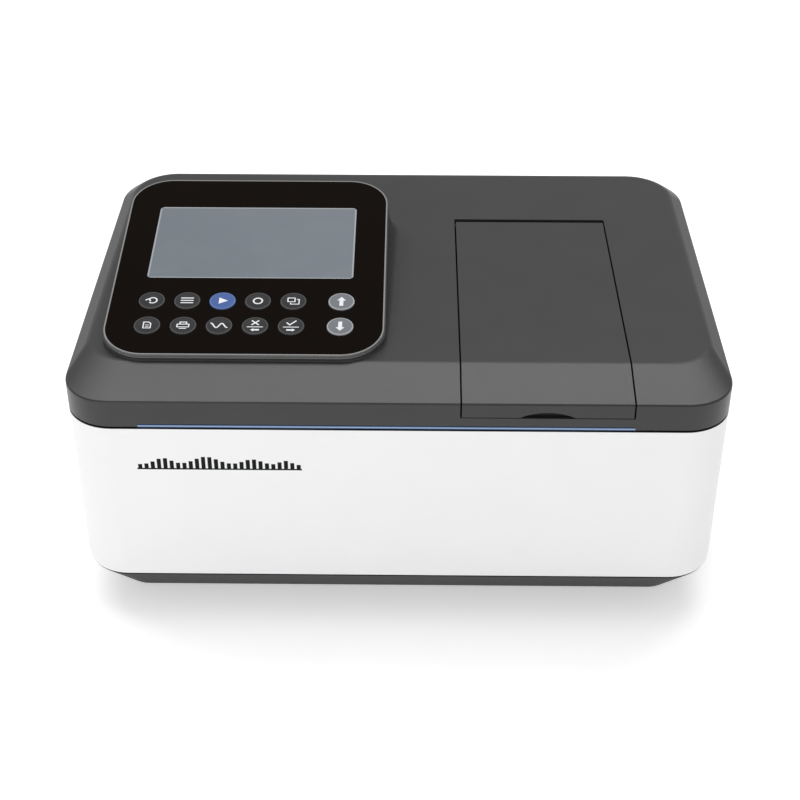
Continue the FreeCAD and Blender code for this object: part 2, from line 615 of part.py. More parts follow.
def usb_device_socket():
    """Square socket with a centre post."""
    x, z = USB_B_X, PORT_Z
    shell = block(x - 6.2, x + 6.2, REAR_IN - 14, BACK - WALL - 0.1, z - 5.7, z + 5.7)
    shell = shell.cut(block(x - 4.4, x + 4.4, REAR_IN - 8, BACK, z - 4.2, z + 4.2))
    return joined([shell, block(x - 2.7, x + 2.7, REAR_IN - 9, BACK - WALL - 0.8, z - 1.5, z + 1.5)])


FAN_Y1 = REAR_IN - 0.1
FAN_Y0 = FAN_Y1 - FAN_T
FAN_HUB_R, FAN_TIP_R, FAN_SHAFT_R = 11.5, 27.3, 1.5


def fan_frame():
    """Square duct with a motor boss on four arms at the inner face."""
    half = FAN_SIZE / 2
    frame = slab_xz(FAN_X - half, FAN_X + half, FAN_Z - half, FAN_Z + half, FAN_Y0, FAN_Y1, 4)
    cuts = [rod(FAN_BORE, (FAN_X, FAN_Y0 - 1, FAN_Z), (FAN_X, FAN_Y1 + 1, FAN_Z))]
    for x in (FAN_X - 25, FAN_X + 25):
        for z in (FAN_Z - 25, FAN_Z + 25):
            cuts.append(rod(2.2, (x, FAN_Y0 - 1, z), (x, FAN_Y1 + 1, z)))
    arms = [block(FAN_X - half + 1, FAN_X + half - 1, FAN_Y0, FAN_Y0 + 2, FAN_Z - 1.5, FAN_Z + 1.5),
            block(FAN_X - 1.5, FAN_X + 1.5, FAN_Y0, FAN_Y0 + 2, FAN_Z - half + 1, FAN_Z + half - 1)]
    boss = rod(FAN_HUB_R, (FAN_X, FAN_Y0, FAN_Z), (FAN_X, FAN_Y0 + 2.5, FAN_Z))
    shaft = rod(FAN_SHAFT_R, (FAN_X, FAN_Y0 + 1, FAN_Z), (FAN_X, FAN_Y1 - 3.5, FAN_Z))
    return joined([without(frame, cuts), boss, shaft] + arms)


def fan_rotor():
    """Hub with seven pitched blades."""
    y0, y1 = FAN_Y0 + 3.0, FAN_Y1 - 1.5
    hub = rod(FAN_HUB_R, (FAN_X, y0, FAN_Z), (FAN_X, y1, FAN_Z))
    blades = []
    for i in range(7):
        blade = block(FAN_X - 0.8, FAN_X + 0.8, y0 + 0.2, y1 - 0.2, FAN_Z + FAN_HUB_R - 2, FAN_Z + FAN_TIP_R)
        blade.rotate(V(FAN_X, (y0 + y1) / 2, FAN_Z), Z_AXIS, 42)
        blade.rotate(V(FAN_X, 0, FAN_Z), Y_AXIS, 360 / 7 * i)
        blades.append(blade)
    tips = rod(FAN_TIP_R, (FAN_X, y0, FAN_Z), (FAN_X, y1, FAN_Z))
    bore = rod(FAN_SHAFT_R + 0.06, (FAN_X, y0 - 1, FAN_Z), (FAN_X, FAN_Y1 - 3.3, FAN_Z))
    return joined([hub] + blades).common(tips).cut(bore)


# ---------------------------------------------------------------- gears
MODULE, BACKLASH = 1.25, 0.5
PRESSURE = math.radians(20)


def involute(angle):
    return math.tan(angle) - angle


def gear(teeth, x, y, z0, z1, phase):
    """Spur gear with involute flanks; phase is the direction of one tooth in degrees."""
    pitch_r = MODULE * teeth / 2
    base_r = pitch_r * math.cos(PRESSURE)
    root_r, tip_r = pitch_r - 1.25 * MODULE, pitch_r + 0.85 * MODULE
    half_at_pitch = math.pi / (2 * teeth) - BACKLASH / 4 / pitch_r
    flank = []
    for share in (0.0, 0.35, 0.7, 1.0):
        r = root_r + share * (tip_r - root_r)
        rolled = involute(math.acos(min(1.0, base_r / r)))
        flank.append((r, half_at_pitch + involute(PRESSURE) - rolled))
    points = []
    for i in range(teeth):
        middle = math.radians(phase) + 2 * math.pi * i / teeth
        sides = [(r, middle - half) for r, half in flank]
        sides += [(r, middle + half) for r, half in reversed(flank)]
        points += [V(x + r * math.cos(a), y + r * math.sin(a), z0) for r, a in sides]
    return Part.Face(Part.makePolygon(points + points[:1])).extrude(V(0, 0, z1 - z0))


# ---------------------------------------------------------------- sample well and cell changer
WELL_X0, WELL_X1, WELL_Y0, WELL_Y1, WELL_WALL = 48.5, 159.5, -158.0, 57.0, 3.0
WELL_FLOOR = 60.0
CELL_X, CELL_PITCH, CELLS = 103.0, 20.0, 4
CUVETTE, CELL_SEAT = 12.5, 95.0
ROD_R, ROD_Z, ROD_XS = 3.0, 76.0, (92.0, 114.0)
RACK_X = 126.0
PINION_TEETH = 20
PINION_X = RACK_X + MODULE * PINION_TEETH / 2
MOTOR_SIZE, MOTOR_Z0, MOTOR_SHAFT_R = 28.0, 14.0, 2.5
SHAFT_HOLE_R = 4.0


def cell_places():
    return [BEAM_Y + CELL_PITCH * i for i in range(CELLS)]


def sample_well():
    """Black tub under the lid; end blocks carry the changer's guide rods."""
    tub = slab(WELL_X0, WELL_X1, WELL_Y0, WELL_Y1, DECK_Z, FLANGE_TOP, 6)
    hollow = slab(WELL_X0 + WELL_WALL, WELL_X1 - WELL_WALL, WELL_Y0 + WELL_WALL, WELL_Y1 - WELL_WALL,
                  WELL_FLOOR, FLANGE_TOP + 1, 3)
    flange = slab(LINER_X0 - 3, LINER_X1 + 3, FRONT + WALL + 1, LINER_Y1 + 2, FLANGE_TOP - 3, FLANGE_TOP, 4)
    shell = without(joined([tub, flange]), [hollow])
    ends = [block(ROD_XS[0] - 7, ROD_XS[1] + 7, y, y + 9, WELL_FLOOR - 1, ROD_Z + 8)
            for y in (WELL_Y0 + WELL_WALL - 1, WELL_Y1 - WELL_WALL - 8)]
    cuts = [rod(ROD_R + 0.02, (x, WELL_Y0 + WELL_WALL + 0.5, ROD_Z), (x, WELL_Y1 - WELL_WALL - 0.5, ROD_Z))
            for x in ROD_XS]
    cuts.append(rod(6, (WELL_X0 - 1, BEAM_Y, BEAM_Z), (WELL_X1 + 1, BEAM_Y, BEAM_Z)))
    for x0 in (WELL_X0 - 1, WELL_X1 - 1.8):
        cuts.append(rod(9.05, (x0, BEAM_Y, BEAM_Z), (x0 + 2.8, BEAM_Y, BEAM_Z)))
    cuts.append(upright(SHAFT_HOLE_R, PINION_X, BEAM_Y, DECK_Z - 1, WELL_FLOOR + 1))
    return without(joined([shell] + ends), cuts)


def beam_windows():
    return [rod(9, (x0, BEAM_Y, BEAM_Z), (x0 + 1.8, BEAM_Y, BEAM_Z)) for x0 in (WELL_X0, WELL_X1 - 1.8)]


def guide_rods():
    y0, y1 = WELL_Y0 + WELL_WALL + 0.6, WELL_Y1 - WELL_WALL - 0.6
    return [rod(ROD_R, (x, y0, ROD_Z), (x, y1, ROD_Z)) for x in ROD_XS]


def cell_carriage():
    """Four-cell holder with beam ports, a foot on the guide rods and a rack along one side."""
    y0, y1 = BEAM_Y - CELL_PITCH / 2, BEAM_Y + CELL_PITCH * (CELLS - 0.5)
    holder = slab(CELL_X - 13, CELL_X + 13, y0, y1, ROD_Z + 6, CELL_SEAT + 33, 2)
    foot = block(ROD_XS[0] - 6, RACK_X - 1.2 * MODULE, y0, y1, ROD_Z - 10, ROD_Z + 8)
    pitch = math.pi * MODULE
    tip, root, half = 0.85 * MODULE, -1.25 * MODULE, pitch / 4 - BACKLASH / 4
    lean = math.tan(PRESSURE)
    teeth = []
    reach = int((y1 - BEAM_Y) / pitch) - 1
    for i in range(-2, reach):
        middle = BEAM_Y + (i + 0.5) * pitch
        outline = ((root - 0.5, half - root * lean), (tip, half - tip * lean),
                   (tip, -half + tip * lean), (root - 0.5, -half + root * lean))
        points = [V(RACK_X + dx, middle + dy, ROD_Z - 10) for dx, dy in outline]
        teeth.append(Part.Face(Part.makePolygon(points + points[:1])).extrude(V(0, 0, 8)))
    cuts = [rod(ROD_R + 0.06, (x, y0 - 1, ROD_Z), (x, y1 + 1, ROD_Z)) for x in ROD_XS]
    room = CUVETTE / 2 + 0.1
    for y in cell_places():
        cuts.append(block(CELL_X - room, CELL_X + room, y - room, y + room, CELL_SEAT, CELL_SEAT + 40))
        cuts.append(rod(4, (CELL_X - 20, y, BEAM_Z), (CELL_X + 20, y, BEAM_Z)))
    return without(joined([holder, foot] + teeth), cuts)


def carriage_pinion():
    z0, z1 = ROD_Z - 11, ROD_Z - 1
    wheel = gear(PINION_TEETH, PINION_X, BEAM_Y, z0, z1, 180)
    hub = upright(5, PINION_X, BEAM_Y, z0 - 0.5, z1 + 4)
    shaft = upright(MOTOR_SHAFT_R, PINION_X, BEAM_Y, BENCH_Z - 8, z1 + 4)
    return joined([wheel, hub, shaft])


# ---------------------------------------------------------------- monochromator
MONO_X0, MONO_X1, MONO_Y0, MONO_Y1, MONO_WALL = -150.0, 38.0, -100.0, 50.0, 5.0
MONO_TOP, MONO_FLOOR = 146.0, DECK_Z + 4
SLIT_X, FOLD_Y = 15.0, 20.0
TABLE_X, TABLE_Y = -15.0, -8.0
SECTOR_TEETH, DRIVER_TEETH = 64, 10
SECTOR_HALF_ANGLE = 34.0
DRIVER_X = TABLE_X - MODULE * (SECTOR_TEETH + DRIVER_TEETH) / 2
MIRROR_X, MIRROR_R, MIRROR_CURVE = -139.0, 15.0, 260.0


def mono_slab(inset, z0, z1, radius):
    """Plate on the monochromator's outline, drawn in by inset."""
    return slab(MONO_X0 + inset, MONO_X1 - inset, MONO_Y0 + inset, MONO_Y1 - inset, z0, z1, radius)


def monochromator_box():
    """Cast box on the bench with posts for the mirrors and ports for both slits."""
    box = mono_slab(0, DECK_Z, MONO_TOP, 8)
    hollow = mono_slab(MONO_WALL, MONO_FLOOR, MONO_TOP + 1, 3)
    lugs = [upright(6, x, y, MONO_FLOOR - 1, MONO_TOP) for x in (MONO_X0 + 8, MONO_X1 - 8)
            for y in (MONO_Y0 + 8, MONO_Y1 - 8)]
    posts = [block(MIRROR_X - 10, MIRROR_X - 4.2, y - 8, y + 8, MONO_FLOOR - 1, BEAM_Z + 12)
             for y in (FOLD_Y, BEAM_Y)]
    pivot = upright(5.0, TABLE_X, TABLE_Y, MONO_FLOOR - 1, MONO_FLOOR + 2)
    spindle = upright(3.0, TABLE_X, TABLE_Y, MONO_FLOOR - 1, 84)
    fold_post = block(SLIT_X - 4, SLIT_X + 4, FOLD_Y - 4, FOLD_Y + 4, MONO_FLOOR - 1, BEAM_Z - 12.2)
    cuts = [rod(6, (MONO_X1 - 8, BEAM_Y, BEAM_Z), (MONO_X1 + 1, BEAM_Y, BEAM_Z)),
            rod(6, (SLIT_X, MONO_Y1 - 8, BEAM_Z), (SLIT_X, MONO_Y1 + 1, BEAM_Z)),
            upright(SHAFT_HOLE_R, DRIVER_X, TABLE_Y, DECK_Z - 1, MONO_FLOOR + 1)]
    return without(joined([without(box, [hollow])] + lugs + posts + [pivot, spindle, fold_post]), cuts)


def monochromator_cover():
    plate = mono_slab(0, MONO_TOP, MONO_TOP + 3, 8)
    bead = mono_slab(20, MONO_TOP + 2, MONO_TOP + 4.5, 6).cut(mono_slab(23, MONO_TOP + 2, MONO_TOP + 5, 4))
    screws = [upright(2.8, x, y, MONO_TOP + 2, MONO_TOP + 5) for x in (MONO_X0 + 8, MONO_X1 - 8)
              for y in (MONO_Y0 + 8, MONO_Y1 - 8)]
    return joined([plate, bead] + screws)


def slit_plates():
    """Thin plates over both ports, each with a narrow upright slit."""
    half, slit_half, slit_h, thick = 14.0, 0.5, 5.0, 1.5
    way_out = block(MONO_X1, MONO_X1 + thick, BEAM_Y - half, BEAM_Y + half, BEAM_Z - half, BEAM_Z + half)
    out_slit = block(MONO_X1 - 1, MONO_X1 + 3, BEAM_Y - slit_half, BEAM_Y + slit_half,
                     BEAM_Z - slit_h, BEAM_Z + slit_h)
    way_in = block(SLIT_X - half, SLIT_X + half, MONO_Y1, MONO_Y1 + thick, BEAM_Z - half, BEAM_Z + half)
    in_slit = block(SLIT_X - slit_half, SLIT_X + slit_half, MONO_Y1 - 1, MONO_Y1 + 3,
                    BEAM_Z - slit_h, BEAM_Z + slit_h)
    return [way_out.cut(out_slit), way_in.cut(in_slit)]


def curved_mirrors():
    mirrors = []
    for y in (FOLD_Y, BEAM_Y):
        blank = rod(MIRROR_R, (MIRROR_X - 4.2, y, BEAM_Z), (MIRROR_X + 4, y, BEAM_Z))
        dish = Part.makeSphere(MIRROR_CURVE, V(MIRROR_X + 2.6 + MIRROR_CURVE, y, BEAM_Z))
        mirrors.append(blank.cut(dish))
    return mirrors


def turned_plate(x, y, width, thick, z0, z1, angle):
    """Upright plate centred on (x, y) with its width along the given direction."""
    plate = block(x - width / 2, x + width / 2, y - thick / 2, y + thick / 2, z0, z1)
    plate.rotate(V(x, y, 0), Z_AXIS, angle)
    return plate


def fold_mirror():
    mount = turned_plate(SLIT_X, FOLD_Y, 18, 8, BEAM_Z - 12.2, BEAM_Z - 9, 45)
    return joined([mount, turned_plate(SLIT_X, FOLD_Y, 16, 3, BEAM_Z - 10, BEAM_Z + 9, 45)])


def grating():
    """Ruled plate: fine upright grooves across its face."""
    plate = block(TABLE_X - 3, TABLE_X + 3, TABLE_Y - 12.5, TABLE_Y + 12.5, BEAM_Z - 13, BEAM_Z + 13)
    grooves = [block(TABLE_X - 4, TABLE_X - 2.8, TABLE_Y + y, TABLE_Y + y + 0.4, BEAM_Z - 11, BEAM_Z + 11)
               for y in (-11 + i for i in range(23))]
    return plate.cut(grooves)


def grating_turntable():
    """Table on the spindle with a gear sector for the drive and a holder for the grating."""
    z0 = MONO_FLOOR + 2.1
    sleeve = upright(6.5, TABLE_X, TABLE_Y, z0, BEAM_Z - 18)
    wheel = gear(SECTOR_TEETH, TABLE_X, TABLE_Y, z0, z0 + 6, 180 + 180 / SECTOR_TEETH)
    reach = 60.0
    spread = [math.radians(180 + side * SECTOR_HALF_ANGLE) for side in (-1, 1)]
    corners = [V(TABLE_X, TABLE_Y, z0 - 1)] + [
        V(TABLE_X + reach * math.cos(a), TABLE_Y + reach * math.sin(a), z0 - 1) for a in spread]
    wedge = Part.Face(Part.makePolygon(corners + corners[:1])).extrude(V(0, 0, 10))
    table = upright(16, TABLE_X, TABLE_Y, BEAM_Z - 19, BEAM_Z - 13)
    back = block(TABLE_X + 3, TABLE_X + 8, TABLE_Y - 10, TABLE_Y + 10, BEAM_Z - 14, BEAM_Z + 8)
    bore = upright(3.06, TABLE_X, TABLE_Y, z0 - 1, 84.3)
    return joined([sleeve, wheel.common(wedge), table, back]).cut(bore)


def grating_pinion():
    z0 = MONO_FLOOR + 1.5
    wheel = gear(DRIVER_TEETH, DRIVER_X, TABLE_Y, z0, z0 + 8, 0)
    shaft = upright(MOTOR_SHAFT_R, DRIVER_X, TABLE_Y, BENCH_Z - 8, z0 + 10)
    return joined([wheel, shaft])


def drive_motors():
    """Two equal stepper motors hung under the bench."""
    motors = []
    half = MOTOR_SIZE / 2
    for x, y in ((PINION_X, BEAM_Y), (DRIVER_X, TABLE_Y)):
        ends = [slab(x - half, x + half, y - half, y + half, z0, z1, 2)
                for z0, z1 in ((MOTOR_Z0, MOTOR_Z0 + 8), (BENCH_Z - 8, BENCH_Z))]
        stack = slab(x - half + 1, x + half - 1, y - half + 1, y + half - 1, MOTOR_Z0 + 7, BENCH_Z - 7, 4)
        plug = block(x - 7, x + 7, y - half - 3, y - half + 1, MOTOR_Z0, MOTOR_Z0 + 7)
        body = joined(ends + [stack, plug])
        motors.append(body.cut(upright(MOTOR_SHAFT_R + 0.06, x, y, BENCH_Z - 9, BENCH_Z + 1)))
    return motors


# ---------------------------------------------------------------- light source
LAMP_X0, LAMP_X1, LAMP_Y0, LAMP_Y1 = -58.0, 58.0, 74.0, 146.0
LAMP_FLOOR, LAMP_TOP = DECK_Z + 3, 142.0
HALOGEN_Y, DEUTERIUM_X, CROSS_Y = 131.0, -30.0, 102.0
SWING_X, SWING_Y = SLIT_X + 13, CROSS_Y - 13
WHEEL_X, WHEEL_R, WHEEL_Y0, WHEEL_T, FILTERS = SLIT_X + 20, 28.0, 59.0, 3.0, 6
INDEX_R, INDEX_H = 10.0, 9.0


def lamp_house():
    """Vented shield open at the top, with a port towards the filter wheel."""
    box = slab(LAMP_X0, LAMP_X1, LAMP_Y0, LAMP_Y1, DECK_Z, LAMP_TOP, 4)
    hollow = slab(LAMP_X0 + 2, LAMP_X1 - 2, LAMP_Y0 + 2, LAMP_Y1 - 2, LAMP_FLOOR, LAMP_TOP + 1, 2)
    cuts = [hollow, rod(7, (SLIT_X, LAMP_Y0 - 1, BEAM_Z), (SLIT_X, LAMP_Y0 + 4, BEAM_Z))]
    for i in range(9):
        x = LAMP_X0 + 14 + 10 * i
        cuts.append(slab_xz(x, x + 4, 70, 128, LAMP_Y1 - 4, LAMP_Y1 + 1, 1.9))
    return without(box, cuts)


def deuterium_lamp():
    """Glass envelope on a flanged base, with a side window towards the mirror."""
    x, y = DEUTERIUM_X, CROSS_Y
    base = upright(17, x, y, LAMP_FLOOR, LAMP_FLOOR + 4)
    socket = upright(12, x, y, LAMP_FLOOR, LAMP_FLOOR + 14)
    bulb = upright(14, x, y, LAMP_FLOOR + 13, BEAM_Z + 14)
    dome = Part.makeSphere(14, V(x, y, BEAM_Z + 14))
    window = rod(6, (x, y, BEAM_Z), (x + 17, y, BEAM_Z))
    return joined([base, socket, bulb, dome, window])


def halogen_lamp():
    """Small capsule lamp in a ceramic holder on a post."""
    x, y = SLIT_X, HALOGEN_Y
    post = block(x - 7, x + 7, y - 6, y + 6, LAMP_FLOOR, BEAM_Z - 20)
    holder = upright(6.5, x, y, BEAM_Z - 21, BEAM_Z - 9)
    capsule = upright(4.5, x, y, BEAM_Z - 10, BEAM_Z + 6)
    tip = Part.makeSphere(4.5, V(x, y, BEAM_Z + 6))
    return joined([post, holder, capsule, tip])


def source_mirror():
    """Flat mirror on a swinging post; it picks which lamp feeds the slit."""
    shaft = upright(2, SWING_X, SWING_Y, LAMP_FLOOR + 2, BEAM_Z - 10)
    arm = block(-1.5, 26, -3, 3, BEAM_Z - 14, BEAM_Z - 10)
    plate = block(9, 27, -1.5, 1.5, BEAM_Z - 11, BEAM_Z + 9)
    swung = joined([arm, plate, upright(3.5, 0, 0, BEAM_Z - 14, BEAM_Z - 10)])
    swung.rotate(V(0, 0, 0), Z_AXIS, 135)
    swung.translate(V(SWING_X, SWING_Y, 0))
    return joined([shaft, swung])


def filter_wheel():
    """Disc with a ring of filter seats on the index motor's shaft."""
    y0, y1 = WHEEL_Y0, WHEEL_Y0 + WHEEL_T
    disc = rod(WHEEL_R, (WHEEL_X, y0, BEAM_Z), (WHEEL_X, y1, BEAM_Z))
    hub = rod(5, (WHEEL_X, y0, BEAM_Z), (WHEEL_X, y1 + 2, BEAM_Z))
    shaft = rod(2, (WHEEL_X, y0, BEAM_Z), (WHEEL_X, LAMP_Y0 - 2, BEAM_Z))
    cuts = []
    for i in range(FILTERS):
        angle = math.pi + 2 * math.pi * i / FILTERS
        x, z = WHEEL_X + 20 * math.cos(angle), BEAM_Z + 20 * math.sin(angle)
        cuts.append(rod(6, (x, y0 - 1, z), (x, y1 + 1, z)))
        cuts.append(rod(7, (x, y0 - 1, z), (x, y0 + 1.2, z)))
    return joined([without(disc, cuts), hub, shaft])


def index_motors():
    """Two equal small motors: one turns the filter wheel, one swings the mirror."""
    shaft_way = 2.06
    front = LAMP_Y0 - INDEX_H
    wheel_motor = rod(INDEX_R, (WHEEL_X, front, BEAM_Z), (WHEEL_X, LAMP_Y0, BEAM_Z))
    wheel_way = rod(shaft_way, (WHEEL_X, front - 1, BEAM_Z), (WHEEL_X, LAMP_Y0 - 1.5, BEAM_Z))
    mirror_motor = upright(INDEX_R, SWING_X, SWING_Y, LAMP_FLOOR, LAMP_FLOOR + INDEX_H)
    mirror_way = upright(shaft_way, SWING_X, SWING_Y, LAMP_FLOOR + 1.5, LAMP_FLOOR + INDEX_H + 1)
    return [wheel_motor.cut(wheel_way), mirror_motor.cut(mirror_way)]


# ---------------------------------------------------------------- detector, bench, electronics
DETECTOR_X0, DETECTOR_X1 = 170.0, 202.0


def detector_housing():
    """Screened box on a foot; its port faces the beam and its back is open."""
    box = slab(DETECTOR_X0, DETECTOR_X1, BEAM_Y - 22, BEAM_Y + 22, BEAM_Z - 22, BEAM_Z + 22, 3)
    hollow = slab(DETECTOR_X0 + 3, DETECTOR_X1 + 5, BEAM_Y - 19, BEAM_Y + 19, BEAM_Z - 19, BEAM_Z + 19, 1)
    foot = block(DETECTOR_X0 + 4, DETECTOR_X1 - 4, BEAM_Y - 12, BEAM_Y + 12, DECK_Z, BEAM_Z - 21)
    nose = rod(9, (DETECTOR_X0 - 7, BEAM_Y, BEAM_Z), (DETECTOR_X0 + 1, BEAM_Y, BEAM_Z))
    port = rod(6, (DETECTOR_X0 - 8, BEAM_Y, BEAM_Z), (DETECTOR_X0 + 4, BEAM_Y, BEAM_Z))
    return without(joined([box, foot, nose]), [hollow, port])


def photodiode_board():
    half = 18.5
    board = block(DETECTOR_X1 - 10, DETECTOR_X1 - 8.4, BEAM_Y - half, BEAM_Y + half,
                  BEAM_Z - 18.9, BEAM_Z + half)
    can = rod(4.6, (DETECTOR_X1 - 17, BEAM_Y, BEAM_Z), (DETECTOR_X1 - 9, BEAM_Y, BEAM_Z))
    chip = block(DETECTOR_X1 - 9, DETECTOR_X1 - 6.5, BEAM_Y - 5, BEAM_Y + 5, BEAM_Z + 4, BEAM_Z + 10)
    return joined([board, can, chip])


BENCH_X, BENCH_Y0, BENCH_Y1 = 205.0, -148.0, 64.0
POSTS = ((-195.0, -100.0), (-195.0, 40.0), (195.0, -100.0), (195.0, 40.0), (-40.0, 135.0), (40.0, 135.0))


def optical_bench():
    """Cast plate on legs that stand on the base's floor."""
    main = slab(-BENCH_X, BENCH_X, BENCH_Y0, BENCH_Y1, BENCH_Z, DECK_Z, 10)
    tongue = slab(-70, 70, BENCH_Y1 - 12, LAMP_Y1 + 4, BENCH_Z, DECK_Z, 6)
    legs = [upright(7, x, y, FLOOR_Z, BENCH_Z + 1) for x, y in POSTS]
    cuts = [upright(SHAFT_HOLE_R, x, y, BENCH_Z - 1, DECK_Z + 1)
            for x, y in ((PINION_X, BEAM_Y), (DRIVER_X, TABLE_Y))]
    cuts += [slab(x, x + 30, -135, -60, BENCH_Z - 1, DECK_Z + 1, 8) for x in (-182.0, 5.0)]
    return without(joined([main, tongue] + legs), cuts)


def main_board():
    """Control board with its chips, a heat sink and connectors, on four spacers."""
    x0, x1, y0, y1, z = -200.0, -80.0, 72.0, 136.0, 30.0
    board = slab(x0, x1, y0, y1, z, z + 1.6, 3)
    parts = [board]
    parts += [upright(3, x, y, FLOOR_Z, z + 0.5) for x in (x0 + 6, x1 - 6) for y in (y0 + 6, y1 - 6)]
    parts.append(block(-160, -140, 92, 112, z + 1, z + 4))
    parts += [block(-158 + 3 * i, -156.6 + 3 * i, 93, 111, z + 3, z + 12) for i in range(6)]
    parts += [block(-190 + 18 * i, -178 + 18 * i, 78, 86, z + 1, z + 3.4) for i in range(5)]
    parts += [block(-120 + 14 * i, -110 + 14 * i, 124, 134, z + 1, z + 12) for i in range(2)]
    parts += [upright(4, -185, 100 + 12 * i, z + 1, z + 12) for i in range(3)]
    return joined(parts)


def power_supply():
    """Open-frame supply: tray, board, transformer, choke, capacitors and heat sinks."""
    x0, x1, y0, y1, z = 88.0, 198.0, 74.0, 136.0, FLOOR_Z
    tray = block(x0, x1, y0, y1, z, z + 30)
    tray = tray.cut(block(x0 + 1.5, x1 - 1.5, y0 - 1, y1 - 1.5, z + 1.5, z + 31))
    parts = [tray, block(x0 + 1, x1 - 1, y0 + 3, y1 - 1, z + 5, z + 6.6)]
    parts += [upright(3, x, y, z + 1, z + 5.5) for x in (x0 + 7, x1 - 7) for y in (y0 + 9, y1 - 9)]
    parts.append(block(130, 158, 92, 120, z + 6, z + 30))
    parts.append(block(134, 154, 88, 124, z + 9, z + 27))
    parts += [upright(7, 102, 86 + 17 * i, z + 6, z + 32) for i in range(3)]
    parts += [block(172, 176, 82, 128, z + 6, z + 32), block(183, 187, 82, 128, z + 6, z + 32)]
    return joined(parts)


# ---------------------------------------------------------------- every piece
def main():
    os.makedirs("parts", exist_ok=True)
    skin, inside = build_skin()
    save("top_cover", top_cover(skin))
    save("lid", lid(skin))
    save("lid_liner", lid_liner(inside))
    for name, (x, s) in key_places().items():
        save(name, key(x, s))
    singles = (
        base_pan, housing_shell, rear_panel, accent_strip, well_seal, lid_hinge_pin, panel_bezel,
        panel_membrane, display_module, keypad_board, mains_inlet, fuse_drawer, mains_rocker, usb_host_socket,
        usb_device_socket, fan_frame, fan_rotor, optical_bench, sample_well, cell_carriage,
        carriage_pinion, monochromator_box, monochromator_cover, fold_mirror, grating,
        grating_turntable, grating_pinion, lamp_house, deuterium_lamp, halogen_lamp, source_mirror,
        filter_wheel, detector_housing, photodiode_board, main_board, power_supply,
    )
    for make in singles:
        save(make.__name__, make())
    groups = (
        rubber_feet, foot_screws, rear_screws, beam_windows, guide_rods, drive_motors,
        slit_plates, curved_mirrors, index_motors,
    )
    for make in groups:
        save(make.__name__, *make())


main()
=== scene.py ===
"""Looks of the bench spectrophotometer: materials, printed marks, floor, lights and camera."""
import math

import bmesh
import bpy
from mathutils import Matrix, Vector


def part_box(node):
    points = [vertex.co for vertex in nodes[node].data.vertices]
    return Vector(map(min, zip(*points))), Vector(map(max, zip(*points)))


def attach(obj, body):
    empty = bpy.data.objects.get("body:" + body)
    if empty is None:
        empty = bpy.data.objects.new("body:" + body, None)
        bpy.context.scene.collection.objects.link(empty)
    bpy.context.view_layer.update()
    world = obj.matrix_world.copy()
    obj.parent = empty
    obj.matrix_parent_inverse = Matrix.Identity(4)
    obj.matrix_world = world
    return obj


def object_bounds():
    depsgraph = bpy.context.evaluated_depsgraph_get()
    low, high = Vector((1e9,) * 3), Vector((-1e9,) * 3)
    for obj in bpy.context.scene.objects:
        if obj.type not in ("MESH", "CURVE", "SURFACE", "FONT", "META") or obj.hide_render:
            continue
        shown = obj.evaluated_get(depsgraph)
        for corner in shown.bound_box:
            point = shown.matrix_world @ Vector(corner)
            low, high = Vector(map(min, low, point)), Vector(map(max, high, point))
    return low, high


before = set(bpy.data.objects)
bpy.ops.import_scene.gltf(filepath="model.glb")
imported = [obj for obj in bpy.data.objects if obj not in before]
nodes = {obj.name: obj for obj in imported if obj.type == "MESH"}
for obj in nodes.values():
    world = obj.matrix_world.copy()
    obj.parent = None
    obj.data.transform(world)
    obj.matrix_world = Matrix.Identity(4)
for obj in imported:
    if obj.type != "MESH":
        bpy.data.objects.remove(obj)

start_low, start_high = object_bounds()

MM = 0.001
PANEL_TILT = math.radians(8.0)          # the keypad panel's slope, back edge up
MARK_LIFT = 0.02 * MM                   # printed marks stand this proud of their surface
MARK_THICK = 0.02 * MM
FLAT_MATCH = 0.99999                    # cosine between normals of one flat face
WEAR_WIDTH = 0.5 * MM                   # how far edge wear reaches in from an edge
WEAR_SHADE = 1.5                        # how many times lighter a fully worn edge is
DRIFT_SIZE = 40 * MM                    # of the patches in which a colour slowly changes
TRACK_PITCH = 9 * MM                    # of the tracks on a circuit board
LAYER_STEP = 0.0004 * MM                # keeps overlapping outlines of one mark apart
LEGEND_SCALE = 1.15                     # of the key pictograms, over the sizes drawn below
BOLD, THIN, FINE = 0.9, 0.7, 0.5        # line widths in the key pictograms, in millimetres
DISH_RADIUS = 90.0                      # of the shallow bowl in every key's face, in millimetres
KEY_HIGHLIGHT_RING = (8.2 * MM, 8.6 * MM)         # radii between which a key's painted highlight ring fades in
GLASS_EDGE_HIGHLIGHT = (1.3 * MM, 1.0 * MM)       # depths between which the painted highlight line along the glass's edge fades in
STRIP_HIGHLIGHT = (0.2 * MM, 0.7 * MM)       # heights between which the strip's painted highlight line fades out
SEAM_SHADOW_FADE = 0.1 * MM                    # half the height over which a rim's painted seam shadow fades in
BASE_SHADOW_RIM, HOUSING_SHADOW_RIM = 1.8 * MM, 0.45 * MM    # depths below the housing's foot and its top, above which the base's and the housing's rims carry painted seam shadow
MEMBRANE_THICK, MEMBRANE_SINK = 0.85 * MM, 0.05 * MM    # the black overlay, and its seat's depth
FLANGE_DEPTH = 4.1 * MM                 # middle of a key's retaining flange, below the panel's plane
DISH_LEVEL = 0.55 * MM                  # bottom of a key's dish, above the panel's plane
X_AXIS, Z_AXIS = Vector((1, 0, 0)), Vector((0, 0, 1))
PANEL_UP = Vector((0, math.cos(PANEL_TILT), math.sin(PANEL_TILT)))
PANEL_OUT = Vector((0, -math.sin(PANEL_TILT), math.cos(PANEL_TILT)))
FLOOR_HALF = 40.0                       # metres, wide enough to fill a low view
FLOOR_GLOW = 0.40                       # the floor's own light, which thins the object's shadow
DARK_KEY = ((0.0125, 0.0125, 0.014), (0.060, 0.060, 0.064))    # colours of a key's face and of its painted highlight ring
BLUE_KEY = ((0.050, 0.105, 0.31), (0.10, 0.17, 0.40))
GREY_KEY = ((0.155, 0.165, 0.18), (0.36, 0.37, 0.385))


